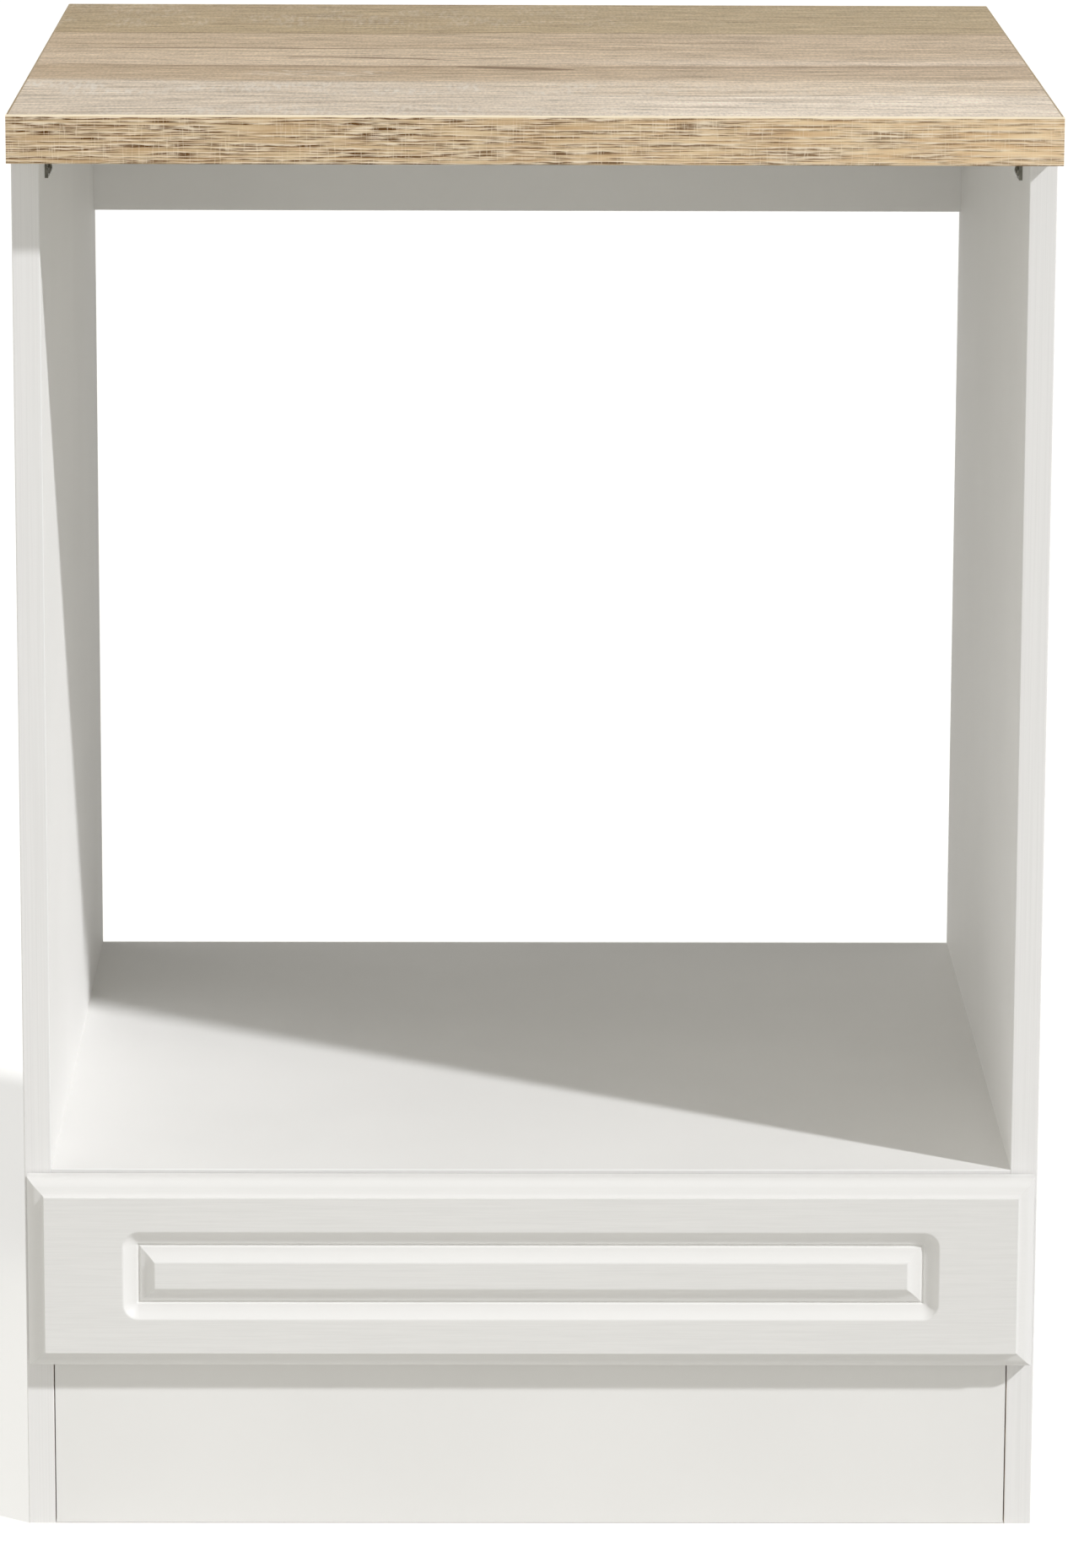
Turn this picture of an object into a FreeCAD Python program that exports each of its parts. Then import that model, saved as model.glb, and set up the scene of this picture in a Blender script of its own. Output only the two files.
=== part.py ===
# Oven base cabinet: a carcass with an open niche for a built-in oven, a low drawer with a routed
# front below the niche, a plinth, and a worktop with an oak decor.
# X runs to the right, Y to the back and Z up. The origin is on the floor, under the middle of the worktop.
import FreeCAD, Part
import os
import Sketcher

doc = FreeCAD.newDocument("OvenBaseCabinet")
sheet = doc.addObject("Spreadsheet::Sheet", "Sizes")

sizes = {
    # carcass boards
    "cabinet_width": 600,
    "carcass_height": 822,
    "carcass_depth": 560,
    "board": 16,
    "edging": 1,
    "edging_round": 0.6,
    "shelf_height": 220,
    "rail_height": 105,
    "back_sheet": 3,
    "plinth_height": 100,
    "plinth_gap": 0.6,
    # worktop
    "worktop_thick": 28,
    "worktop_overhang": 40,
    "worktop_edging": 1.5,
    "worktop_round": 1,
    # drawer front and its routed profiles
    "front_thick": 18,
    "front_reveal": 2,
    "front_lift": 2,
    "front_drop": 2,
    "front_gap": 2,
    "ogee_nose": 8,
    "ogee_ledge": 3.5,
    "ogee_drop": 1.4,
    "ogee_cove": 3,
    "ogee_step": 0.6,
    "groove_inset_side": 56,
    "groove_inset_top": 30.5,
    "groove_width": 20,
    "groove_depth": 6.5,
    "shoulder_round": 1.8,
    "shoulder_run": 1.6,
    "shoulder_drop": 1,
    "groove_cove": 16,
    "vein_width": 2.4,
    "vein_flat": 1,
    "vein_depth": 1.1,
    "cutter_overrun": 2,
    # drawer box
    "drawer_board": 12,
    "drawer_lift": 12,
    "drawer_headroom": 12,
    "bottom_sheet": 3,
    "bottom_rise": 12,
    "bottom_groove": 5,
    "bumper_diameter": 8,
    "bumper_inset": 10,
    # roller runners
    "runner_gap": 12.7,
    "runner_steel": 1.2,
    "runner_setback": 2,
    "runner_rear_space": 58,
    "runner_base": 10,
    "runner_lip": 3,
    "runner_top_flange": 8,
    "runner_screw_height": 8,
    "roller_diameter": 17,
    "roller_setback": 14,
    "roller_side_gap": 0.5,
    "roller_recess": 1.6,
    "roller_recess_diameter": 10,
    "roller_chamfer": 0.5,
    "running_gap": 0.3,
    "lift_gap": 2,
    "axle_diameter": 5,
    "axle_head_diameter": 8.4,
    "axle_head": 1.1,
    "axle_gap": 0.1,
    "stop_height": 3,
    "stop_width": 5,
    "stop_setback": 91.5,
    # angle brackets
    "bracket_leg": 20,
    "bracket_steel": 2,
    "bracket_width": 16,
    "bracket_bend": 1,
    "bracket_hole": 15,
    "bracket_setback": 60,
    "bracket_rear_setback": 110,
    "plinth_bracket_height": 50,
    # screws
    "pan_head_diameter": 7,
    "pan_head": 2,
    "pan_crown": 1.2,
    "pan_shank": 3.5,
    "pan_length": 13,
    "flat_head_diameter": 6.2,
    "flat_crown": 0.2,
    "flat_shank": 3.2,
    "tip_cover": 1.2,
    "tip_length": 2,
    "hole_clearance": 1,
    "back_screw_length": 34,
    "runner_screw_inset": 40,
    "back_screw_inset": 60,
    # cam locks, cam bolts and dowels
    "cam_diameter": 15,
    "cam_floor": 1,
    "cam_distance": 24,
    "small_cam_diameter": 12,
    "cam_slot": 1.8,
    "cam_slot_depth": 2.5,
    "bolt_thread": 5,
    "bolt_thread_length": 11,
    "bolt_shank": 6,
    "bolt_head": 7,
    "bolt_head_length": 4,
    "bolt_hole": 8,
    "dowel_diameter": 8,
    "dowel_length": 30,
    "dowel_in_side": 10,
    "small_dowel_diameter": 6,
    "small_dowel_length": 25,
    "small_dowel_in_front": 8,
    "fitting_inset": 60,
    "fitting_pitch": 32,
    "fit_gap": 0.1,
}

for row, (alias, number) in enumerate(sizes.items(), start=1):
    sheet.set(f"A{row}", alias)
    sheet.set(f"B{row}", str(number))
    sheet.setAlias(f"B{row}", alias)
doc.recompute()

# places that several pieces share, worked out from the sheet
half_width = "(Sizes.cabinet_width / 2)"
inner_half = "(Sizes.cabinet_width / 2 - Sizes.board)"
front_plane = "((Sizes.worktop_overhang - Sizes.carcass_depth) / 2)"
back_plane = "((Sizes.worktop_overhang + Sizes.carcass_depth) / 2)"
board_front = f"({front_plane} + Sizes.edging)"
shelf_under = "(Sizes.shelf_height - Sizes.board)"
bottom_top = "(Sizes.plinth_height + Sizes.board)"
front_back_face = f"({front_plane} - Sizes.front_gap)"
front_low = "(Sizes.plinth_height + Sizes.front_lift)"
front_height = f"(Sizes.shelf_height - Sizes.front_drop - {front_low})"
front_width = "(Sizes.cabinet_width - 2 * Sizes.front_reveal)"
drawer_half = f"({inner_half} - Sizes.runner_gap)"
drawer_inner_half = f"({drawer_half} - Sizes.drawer_board)"
drawer_low = f"({bottom_top} + Sizes.drawer_lift)"
drawer_high = f"({shelf_under} - Sizes.drawer_headroom)"
runner_length = "(Sizes.carcass_depth - Sizes.runner_setback - Sizes.runner_rear_space)"
runner_front = f"({front_plane} + Sizes.runner_setback)"
drawer_back_face = f"({front_back_face} + {runner_length})"
runner_low = f"({bottom_top} + Sizes.runner_base)"
roller_radius = "(Sizes.roller_diameter / 2)"
roller_width = "(Sizes.runner_gap - 3 * Sizes.runner_steel - 3 * Sizes.roller_side_gap)"
roller_axis = f"(Sizes.runner_steel + Sizes.running_gap + {roller_radius})"
roller_height = f"({runner_low} + {roller_axis})"
front_roller_y = f"({runner_front} + Sizes.roller_setback)"
rear_roller_y = f"({drawer_back_face} - Sizes.roller_setback)"
drawer_flange = f"({roller_axis} + {roller_radius} + Sizes.running_gap)"
sheet_low = f"({drawer_low} + Sizes.bottom_rise)"
runner_screw_z = f"({runner_low} + Sizes.runner_screw_height)"
cam_depth = "(Sizes.board / 2 + Sizes.bolt_head / 2 + Sizes.cam_floor)"
small_cam_depth = "(Sizes.drawer_board / 2 + Sizes.bolt_head / 2 + Sizes.cam_floor)"
flat_length = "(Sizes.drawer_board + Sizes.runner_steel - Sizes.tip_cover)"

left, right = -1, 1
sides = {"left": left, "right": right}
nodes = []
blanks = {}
cuts = {}

turns = {
    "+x": FreeCAD.Rotation(FreeCAD.Vector(0, 1, 0), 90),
    "-x": FreeCAD.Rotation(FreeCAD.Vector(0, 1, 0), -90),
    "+y": FreeCAD.Rotation(FreeCAD.Vector(1, 0, 0), -90),
    "-y": FreeCAD.Rotation(FreeCAD.Vector(1, 0, 0), 90),
    "+z": FreeCAD.Rotation(),
    "-z": FreeCAD.Rotation(FreeCAD.Vector(1, 0, 0), 180),
}


def value(expression):
    return float(sheet.evalExpression(expression))


def signed(side, expression):
    return f"({side} * {expression})"


def towards(side):
    return "+x" if side > 0 else "-x"


def opposite(direction):
    return ("-" if direction[0] == "+" else "+") + direction[1]


def moved(point, direction, distance):
    axis = "xyz".index(direction[1])
    result = list(point)
    result[axis] = f"({point[axis]} {direction[0]} {distance})"
    return result


def place(piece, point):
    for axis, expression in zip("xyz", point):
        piece.setExpression(f"Placement.Base.{axis}", expression)


def box(name, corner, extent):
    piece = doc.addObject("Part::Box", name)
    for size, expression in zip(("Length", "Width", "Height"), extent):
        piece.setExpression(size, expression)
    place(piece, corner)
    return piece


def rod(name, start, direction, diameter, length):
    piece = doc.addObject("Part::Cylinder", name)
    piece.setExpression("Radius", f"{diameter} / 2")
    piece.setExpression("Height", length)
    piece.Placement.Rotation = turns[direction]
    place(piece, start)
    return piece


def group(name, pieces):
    bundle = doc.addObject("Part::Compound", name)
    bundle.Links = pieces
    return bundle


def cut_from(names, tool):
    for name in names:
        cuts.setdefault(name, []).append(tool)


def drill(names, start, direction, diameter, length):
    cut_from(names, rod("bore", start, direction, diameter, length))


def copy_of(master, point, rotation):
    piece = doc.addObject("App::Link", master.Name + "_copy")
    piece.LinkedObject = master
    piece.Placement = FreeCAD.Placement(FreeCAD.Vector(), rotation)
    place(piece, point)
    return piece


def outline(sketch, corners):
    # A closed outline. Each corner is (u, v), or (u, v, radius, centre u, centre v) where an arc follows it.
    spots = [FreeCAD.Vector(value(corner[0]), value(corner[1]), 0) for corner in corners]
    ends = []
    first = sketch.GeometryCount
    for index, corner in enumerate(corners):
        start = spots[index]
        stop = spots[(index + 1) % len(spots)]
        if len(corner) == 2:
            sketch.addGeometry(Part.LineSegment(start, stop), False)
            ends.append((1, 2))
            continue
        centre = FreeCAD.Vector(value(corner[3]), value(corner[4]), 0)
        anticlockwise = (start - centre).cross(stop - centre).z > 0
        low, high = (start, stop) if anticlockwise else (stop, start)
        circle = Part.Circle(centre, FreeCAD.Vector(0, 0, 1), (start - centre).Length)
        sketch.addGeometry(Part.ArcOfCircle(circle, circle.parameter(low), circle.parameter(high)), False)
        ends.append((1, 2) if anticlockwise else (2, 1))
    for index, corner in enumerate(corners):
        after = (index + 1) % len(corners)
        here = first + index
        tie = Sketcher.Constraint("Coincident", here, ends[index][1], first + after, ends[after][0])
        sketch.addConstraint(tie)
        pin(sketch, "DistanceX", -2, here, ends[index][0], corner[0])
        pin(sketch, "DistanceY", -1, here, ends[index][0], corner[1])
        if len(corner) > 2:
            number = sketch.addConstraint(Sketcher.Constraint("Radius", here, value(corner[2])))
            sketch.setExpression(f"Constraints[{number}]", corner[2])


def swapped(corners):
    # the same outline with its two axes exchanged
    return [(c[1], c[0]) if len(c) == 2 else (c[1], c[0], c[2], c[4], c[3]) for c in corners]


def pin(sketch, kind, axis, geometry, end, expression):
    # Holds one end of a line at a distance from the sketch's origin, or on its axis.
    if expression == "0":
        sketch.addConstraint(Sketcher.Constraint("PointOnObject", geometry, end, axis))
        return
    number = sketch.addConstraint(Sketcher.Constraint(kind, -1, 1, geometry, end, value(expression)))
    sketch.setExpression(f"Constraints[{number}]", expression)


def sketch_on(body, name, role):
    sketch = body.newObject("Sketcher::SketchObject", name)
    plane = [feature for feature in body.Origin.OriginFeatures if feature.Role == role][0]
    sketch.AttachmentSupport = (plane, [""])
    sketch.MapMode = "FlatFace"
    return sketch


def prism(name, role, corners, length, reverse=False):
    body = doc.addObject("PartDesign::Body", name)
    sketch = sketch_on(body, name + "_outline", role)
    outline(sketch, corners)
    pad = body.newObject("PartDesign::Pad", name + "_pad")
    pad.Profile = sketch
    pad.setExpression("Length", length)
    pad.Reversed = reverse
    return body


def turned(name, corners):
    # A body of revolution about its own Z axis; each corner is (radius, height).
    body = doc.addObject("PartDesign::Body", name)
    sketch = sketch_on(body, name + "_section", "XZ_Plane")
    outline(sketch, corners)
    turning = body.newObject("PartDesign::Revolution", name + "_turning")
    turning.Profile = sketch
    turning.ReferenceAxis = (sketch, ["V_Axis"])
    return body


def node(name, blank):
    blanks[name] = blank


# Carcass boards

def panel(name, corner, extent):
    node(name, box(name + "_board", corner, extent))


def strip(name, role, across, thick, rounding, length, corner, face_first=True, upright=False):
    # An edging: its face side has two rounded arrises, its glued side is square. face_first puts the face
    # at the low end of the thickness, upright draws the width along the sketch's second axis.
    if face_first:
        glued, face, inner = thick, "0", rounding
    else:
        glued, face, inner = "0", thick, f"({thick} - {rounding})"
    corners = [
        ("0", glued),
        ("0", inner, rounding, rounding, inner),
        (rounding, face),
        (f"({across} - {rounding})", face, rounding, f"({across} - {rounding})", inner),
        (across, inner),
        (across, glued),
    ]
    if upright:
        corners = swapped(corners)
    body = prism(name + "_strip", role, corners, length, reverse=role == "XZ_Plane")
    place(body, corner)
    node(name, body)
    return body


def side_panels():
    for name, side in sides.items():
        low_x = f"(-{half_width})" if side == left else inner_half
        depth = "(Sizes.carcass_depth - Sizes.edging)"
        panel(f"{name}_side_panel", (low_x, board_front, "0"), ("Sizes.board", depth, "Sizes.carcass_height"))
        strip(
            f"{name}_side_edging", "XY_Plane", "Sizes.board", "Sizes.edging", "Sizes.edging_round",
            "Sizes.carcass_height", (low_x, front_plane, "0"),
        )


def cross_board(name, low_z):
    # A horizontal board between the side panels, with its front edging.
    depth = "(Sizes.carcass_depth - Sizes.edging - Sizes.back_sheet)"
    width = f"(2 * {inner_half})"
    panel(name, (f"(-{inner_half})", board_front, low_z), (width, depth, "Sizes.board"))
    edge = strip(
        f"{name}_edging", "XY_Plane", "Sizes.board", "Sizes.edging", "Sizes.edging_round",
        width, (f"(-{inner_half})", front_plane, f"({low_z} + Sizes.board)"),
    )
    edge.Placement.Rotation = turns["+x"]


def rear_rail():
    low_z = "(Sizes.carcass_height - Sizes.rail_height)"
    back_y = f"({back_plane} - Sizes.board)"
    width = f"(2 * {inner_half})"
    height = "(Sizes.rail_height - Sizes.edging)"
    corner = (f"(-{inner_half})", back_y, f"({low_z} + Sizes.edging)")
    panel("rear_top_rail", corner, (width, "Sizes.board", height))
    strip(
        "rear_top_rail_edging", "YZ_Plane", "Sizes.board", "Sizes.edging", "Sizes.edging_round",
        width, (f"(-{inner_half})", back_y, low_z),
    )


def plinth_and_back():
    width = f"(2 * ({inner_half} - Sizes.plinth_gap))"
    corner = (f"(Sizes.plinth_gap - {inner_half})", front_plane, "Sizes.plinth_gap")
    panel("plinth_board", corner, (width, "Sizes.board", "(Sizes.plinth_height - Sizes.plinth_gap)"))
    corner = (f"(-{inner_half})", f"({back_plane} - Sizes.back_sheet)", "Sizes.plinth_height")
    height = "(Sizes.shelf_height - Sizes.plinth_height)"
    panel("lower_back_sheet", corner, (f"(2 * {inner_half})", "Sizes.back_sheet", height))


def worktop():
    front_y = f"(-{back_plane})"
    board_y = f"({front_y} + Sizes.worktop_edging)"
    board_half = f"({half_width} - Sizes.worktop_edging)"
    depth = f"(2 * {back_plane} - Sizes.worktop_edging)"
    low = "Sizes.carcass_height"
    thick = "Sizes.worktop_thick"
    panel("worktop_board", (f"(-{board_half})", board_y, low), (f"(2 * {board_half})", depth, thick))
    front = strip(
        "worktop_front_edging", "XY_Plane", thick, "Sizes.worktop_edging", "Sizes.worktop_round",
        "Sizes.cabinet_width", (f"(-{half_width})", front_y, f"({low} + {thick})"),
    )
    front.Placement.Rotation = turns["+x"]
    for name, side in sides.items():
        low_x = f"(-{half_width})" if side == left else board_half
        strip(
            f"worktop_{name}_edging", "XZ_Plane", thick, "Sizes.worktop_edging", "Sizes.worktop_round",
            depth, (low_x, board_y, low), face_first=side == left, upright=True,
        )


# Fittings

def screw(name, head_diameter, head, shank, length, crown):
    # The head's seat is at height 0, the screw is driven along +Z; crown slopes the top of the head.
    head_radius = f"({head_diameter} / 2)"
    shank_radius = f"({shank} / 2)"
    return turned(name, [
        ("0", f"(-{head})"),
        (f"({head_radius} - {crown})", f"(-{head})"),
        (head_radius, f"({crown} - {head})"),
        (head_radius, "0"),
        (shank_radius, "0"),
        (shank_radius, f"({length} - Sizes.tip_length)"),
        ("0", length),
    ])


pan_screw = screw(
    "pan_screw", "Sizes.pan_head_diameter", "Sizes.pan_head", "Sizes.pan_shank",
    "Sizes.pan_length", "Sizes.pan_crown",
)
flat_screw = screw(
    "flat_screw", "Sizes.flat_head_diameter", "Sizes.runner_steel", "Sizes.flat_shank",
    f"({flat_length} - Sizes.runner_steel)", "Sizes.flat_crown",
)
back_screw = screw(
    "back_screw", "Sizes.flat_head_diameter", "Sizes.runner_steel", "Sizes.flat_shank",
    "Sizes.back_screw_length", "Sizes.flat_crown",
)


def drive(master, seat, direction, shank, length, wood):
    # Drives a screw whose head sits at seat, and drills its hole in the wood behind it.
    drill(wood, seat, direction, f"({shank} + 2 * Sizes.fit_gap)", length)
    return copy_of(master, seat, turns[direction])


def sink(seat, direction, carrier):
    # Sinks a flat head flush into the piece that it holds.
    mouth = moved(seat, opposite(direction), "Sizes.runner_steel")
    drill(carrier, mouth, direction, "(Sizes.flat_head_diameter + 2 * Sizes.fit_gap)", "Sizes.runner_steel")


def flat_drive(seat, direction, carrier, wood):
    sink(seat, direction, carrier)
    length = f"({flat_length} - Sizes.runner_steel)"
    return drive(flat_screw, seat, direction, "Sizes.flat_shank", length, wood)


def vector_of(axis):
    vectors = {"x": FreeCAD.Vector(1, 0, 0), "y": FreeCAD.Vector(0, 1, 0), "z": FreeCAD.Vector(0, 0, 1)}
    return vectors[axis[1]] * (1 if axis[0] == "+" else -1)


def angle_bracket(name, corner, first, second, width_axis, wood_first, wood_second):
    # An angle of bent steel. Its first leg lies on wood_first and its second on wood_second; corner is
    # where the two boards meet, in the middle of the bracket's width. Gives back its two screws.
    leg = "Sizes.bracket_leg"
    steel = "Sizes.bracket_steel"
    bend = f"({steel} + Sizes.bracket_bend)"
    body = prism(name + "_angle", "XY_Plane", [
        (bend, "0"),
        (leg, "0"),
        (leg, steel),
        (bend, steel, "Sizes.bracket_bend", bend, bend),
        (steel, bend),
        (steel, leg),
        ("0", leg),
        ("0", bend, bend, bend, bend),
    ], "Sizes.bracket_width")
    body.Placement.Rotation = FreeCAD.Rotation(*[vector_of(axis) for axis in (first, second, width_axis)], "XYZ")
    place(body, moved(corner, opposite(width_axis), "Sizes.bracket_width / 2"))
    node(name, body)
    hole = "(Sizes.pan_shank + Sizes.hole_clearance)"
    pair = []
    for along, into, wood in ((first, opposite(second), wood_first), (second, opposite(first), wood_second)):
        seat = moved(moved(corner, along, "Sizes.bracket_hole"), opposite(into), steel)
        drill([name], seat, into, hole, steel)
        pair.append(drive(pan_screw, seat, into, "Sizes.pan_shank", "Sizes.pan_length", [wood]))
    return pair


def brackets():
    screws = []
    rows = {
        "front": f"({front_plane} + Sizes.bracket_setback)",
        "rear": f"({back_plane} - Sizes.bracket_rear_setback)",
    }
    for name, side in sides.items():
        inward = towards(-side)
        wall = f"{name}_side_panel"
        wall_x = signed(side, inner_half)
        for row, y in rows.items():
            corner = (wall_x, y, "Sizes.carcass_height")
            width_axis = "+y" if side == left else "-y"
            title = f"worktop_bracket_{row}_{name}"
            screws += angle_bracket(title, corner, inward, "-z", width_axis, "worktop_board", wall)
        corner = (wall_x, f"({front_plane} + Sizes.board)", "Sizes.plinth_bracket_height")
        width_axis = "+z" if side == left else "-z"
        title = f"plinth_bracket_{name}"
        screws += angle_bracket(title, corner, inward, "+y", width_axis, "plinth_board", wall)
    node("bracket_screws", group("bracket_screws_set", screws))


def cam_bolt():
    # Its thread runs below height 0 into the one board, its shank and head above 0 into the other.
    thread = "(Sizes.bolt_thread / 2)"
    shank = "(Sizes.bolt_shank / 2)"
    head = "(Sizes.bolt_head / 2)"
    neck = "(Sizes.cam_distance - Sizes.bolt_head_length / 2)"
    end = "(Sizes.cam_distance + Sizes.bolt_head_length / 2)"
    return turned("cam_bolt", [
        ("0", "(-Sizes.bolt_thread_length)"),
        (thread, "(-Sizes.bolt_thread_length)"),
        (thread, "0"),
        (shank, "0"),
        (shank, neck),
        (head, neck),
        (head, end),
        ("0", end),
    ])


def cam_lock(name, diameter, depth, bolt_depth):
    # The cam's face is at height 0 and it reaches down to its depth; the bolt comes in along +X.
    drum = rod(name + "_drum", ("0", "0", f"(-{depth})"), "+z", f"({diameter} - 2 * Sizes.fit_gap)", depth)
    throat = rod(
        name + "_throat", ("(-Sizes.bolt_head_length)", "0", f"(-{bolt_depth})"), "+x",
        "(Sizes.bolt_head + 2 * Sizes.running_gap)", diameter,
    )
    span = f"({diameter} / 2)"
    slots = []
    for long_x, long_y in ((span, "Sizes.cam_slot"), ("Sizes.cam_slot", span)):
        corner = (f"(-{long_x} / 2)", f"(-{long_y} / 2)", "(-Sizes.cam_slot_depth)")
        slots.append(box(name + "_slot", corner, (long_x, long_y, "Sizes.cam_slot_depth")))
    lock = doc.addObject("Part::Cut", name)
    lock.Base = drum
    lock.Tool = group(name + "_hollows", [throat] + slots)
    return lock


bolt_master = cam_bolt()
cam_master = cam_lock("cam_lock", "Sizes.cam_diameter", cam_depth, "(Sizes.board / 2)")
small_cam_master = cam_lock(
    "small_cam_lock", "Sizes.small_cam_diameter", small_cam_depth, "(Sizes.drawer_board / 2)",
)


def rotation_of(x_axis, z_axis):
    x_vector = vector_of(x_axis)
    z_vector = vector_of(z_axis)
    return FreeCAD.Rotation(x_vector, z_vector.cross(x_vector), z_vector, "ZXY")


def bolt_and_cam(meeting, outward, face, board_name, host, master, diameter, depth, half_thick):
    # meeting is the point where the bolt crosses from host into the board, outward points into host and
    # face points out of the board's side that the cam is put in from. Gives back the bolt and the cam.
    inward = opposite(outward)
    drill([host], meeting, outward, "(Sizes.bolt_thread + 2 * Sizes.fit_gap)", "Sizes.bolt_thread_length")
    drill([board_name], meeting, inward, "Sizes.bolt_hole", "Sizes.cam_distance")
    bolt = copy_of(bolt_master, meeting, turns[inward])
    mouth = moved(moved(meeting, inward, "Sizes.cam_distance"), face, half_thick)
    drill([board_name], mouth, opposite(face), diameter, depth)
    cam = copy_of(master, mouth, rotation_of(outward, face))
    return bolt, cam


def dowel(meeting, outward, diameter, length, in_host, names):
    start = moved(meeting, outward, in_host)
    drill(names, start, opposite(outward), f"({diameter} + 2 * Sizes.fit_gap)", length)
    return rod("dowel", start, opposite(outward), diameter, length)


def carcass_fittings():
    bolts, cams, dowels = [], [], []
    front_y = f"({board_front} + Sizes.fitting_inset)"
    rear_y = f"({back_plane} - Sizes.back_sheet - Sizes.fitting_inset)"
    rail_y = f"({back_plane} - Sizes.board / 2)"
    rail_z = "(Sizes.carcass_height - Sizes.rail_height / 2)"
    for name, side in sides.items():
        wall = f"{name}_side_panel"
        outward = towards(side)
        wall_x = signed(side, inner_half)
        for board_name, low_z in (("oven_shelf", shelf_under), ("bottom_panel", "Sizes.plinth_height")):
            z = f"({low_z} + Sizes.board / 2)"
            for y, step in ((front_y, "+y"), (rear_y, "-y")):
                meeting = (wall_x, y, z)
                bolt, cam = bolt_and_cam(
                    meeting, outward, "-z", board_name, wall, cam_master,
                    "Sizes.cam_diameter", cam_depth, "Sizes.board / 2",
                )
                bolts.append(bolt)
                cams.append(cam)
                peg = moved(meeting, step, "Sizes.fitting_pitch")
                dowels.append(dowel(
                    peg, outward, "Sizes.dowel_diameter", "Sizes.dowel_length", "Sizes.dowel_in_side",
                    [board_name, wall],
                ))
        meeting = (wall_x, rail_y, rail_z)
        bolt, cam = bolt_and_cam(
            meeting, outward, "+y", "rear_top_rail", wall, cam_master,
            "Sizes.cam_diameter", cam_depth, "Sizes.board / 2",
        )
        bolts.append(bolt)
        cams.append(cam)
        for step in ("+z", "-z"):
            peg = moved(meeting, step, "Sizes.fitting_pitch")
            dowels.append(dowel(
                peg, outward, "Sizes.dowel_diameter", "Sizes.dowel_length", "Sizes.dowel_in_side",
                ["rear_top_rail", wall],
            ))
    node("cam_bolts", group("cam_bolts_set", bolts))
    node("cam_locks", group("cam_locks_set", cams))
    node("wooden_dowels", group("wooden_dowels_set", dowels))


def back_sheet_screws():
    screws = []
    seat_y = f"({back_plane} - Sizes.runner_steel)"
    for board_name, low_z in (("oven_shelf", shelf_under), ("bottom_panel", "Sizes.plinth_height")):
        z = f"({low_z} + Sizes.board / 2)"
        reach = f"({inner_half} - Sizes.back_screw_inset)"
        for x in (f"(-{reach})", "0", reach):
            wood = ["lower_back_sheet", board_name]
            screws.append(flat_drive((x, seat_y, z), "-y", ["lower_back_sheet"], wood))
    node("back_sheet_screws", group("back_sheet_screws_set", screws))


# Roller runners

def cabinet_runner(name, side):
    # A bent steel channel, open towards the drawer: web, foot flange with a lip, and a top flange.
    steel = "Sizes.runner_steel"
    lip_out = f"(Sizes.runner_gap - {steel} - Sizes.roller_side_gap)"
    lip_in = f"({lip_out} - {steel})"
    top = f"({drawer_flange} + 2 * {steel} + Sizes.lift_gap)"
    section = [
        ("0", "0"),
        (lip_out, "0"),
        (lip_out, "Sizes.runner_lip"),
        (lip_in, "Sizes.runner_lip"),
        (lip_in, steel),
        (steel, steel),
        (steel, f"({top} - {steel})"),
        ("Sizes.runner_top_flange", f"({top} - {steel})"),
        ("Sizes.runner_top_flange", top),
        ("0", top),
    ]
    section = [(u if u == "0" else signed(-side, u), v) for u, v in section]
    channel = prism(f"{name}_channel", "XZ_Plane", section, runner_length, reverse=True)
    place(channel, (signed(side, inner_half), runner_front, runner_low))
    stop_near = f"({steel} + Sizes.roller_side_gap)"
    stop_x = signed(side, f"({inner_half} - {stop_near})")
    if side == right:
        stop_x = f"({stop_x} - Sizes.stop_width)"
    stop_y = f"({front_roller_y} + Sizes.stop_setback - {steel})"
    corner = (stop_x, stop_y, f"({runner_low} + {steel})")
    stop = box(f"{name}_stop", corner, ("Sizes.stop_width", steel, "Sizes.stop_height"))
    member = doc.addObject("Part::Fuse", f"{name}_member")
    member.Base = channel
    member.Tool = stop
    node(name, member)


def drawer_runner(name, side):
    # A bent steel profile on the drawer side: foot under the board, web, and a flange over the roller.
    steel = "Sizes.runner_steel"
    web_out = f"(Sizes.runner_gap - {steel})"
    foot_end = "(Sizes.runner_gap + Sizes.drawer_board)"
    foot_top = f"({drawer_low} - {runner_low})"
    flange_end = f"({steel} + Sizes.roller_side_gap)"
    flange_top = f"({drawer_flange} + {steel})"
    section = [
        (web_out, f"({foot_top} - {steel})"),
        (foot_end, f"({foot_top} - {steel})"),
        (foot_end, foot_top),
        ("Sizes.runner_gap", foot_top),
        ("Sizes.runner_gap", flange_top),
        (flange_end, flange_top),
        (flange_end, drawer_flange),
        (web_out, drawer_flange),
    ]
    section = [(signed(-side, u), v) for u, v in section]
    length = f"({runner_length} - Sizes.runner_setback)"
    profile = prism(f"{name}_profile", "XZ_Plane", section, length, reverse=True)
    place(profile, (signed(side, inner_half), f"({front_back_face} + Sizes.runner_setback)", runner_low))
    node(name, profile)


def roller(name):
    # Its recessed face, where the axle's head sits, is at height 0.
    radius = roller_radius
    chamfer = "Sizes.roller_chamfer"
    bore = "(Sizes.axle_diameter / 2 + Sizes.axle_gap)"
    recess = "(Sizes.roller_recess_diameter / 2)"
    return turned(name + "_wheel", [
        (bore, "Sizes.roller_recess"),
        (recess, "Sizes.roller_recess"),
        (recess, "0"),
        (f"({radius} - {chamfer})", "0"),
        (radius, chamfer),
        (radius, f"({roller_width} - {chamfer})"),
        (f"({radius} - {chamfer})", roller_width),
        (bore, roller_width),
    ])


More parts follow.
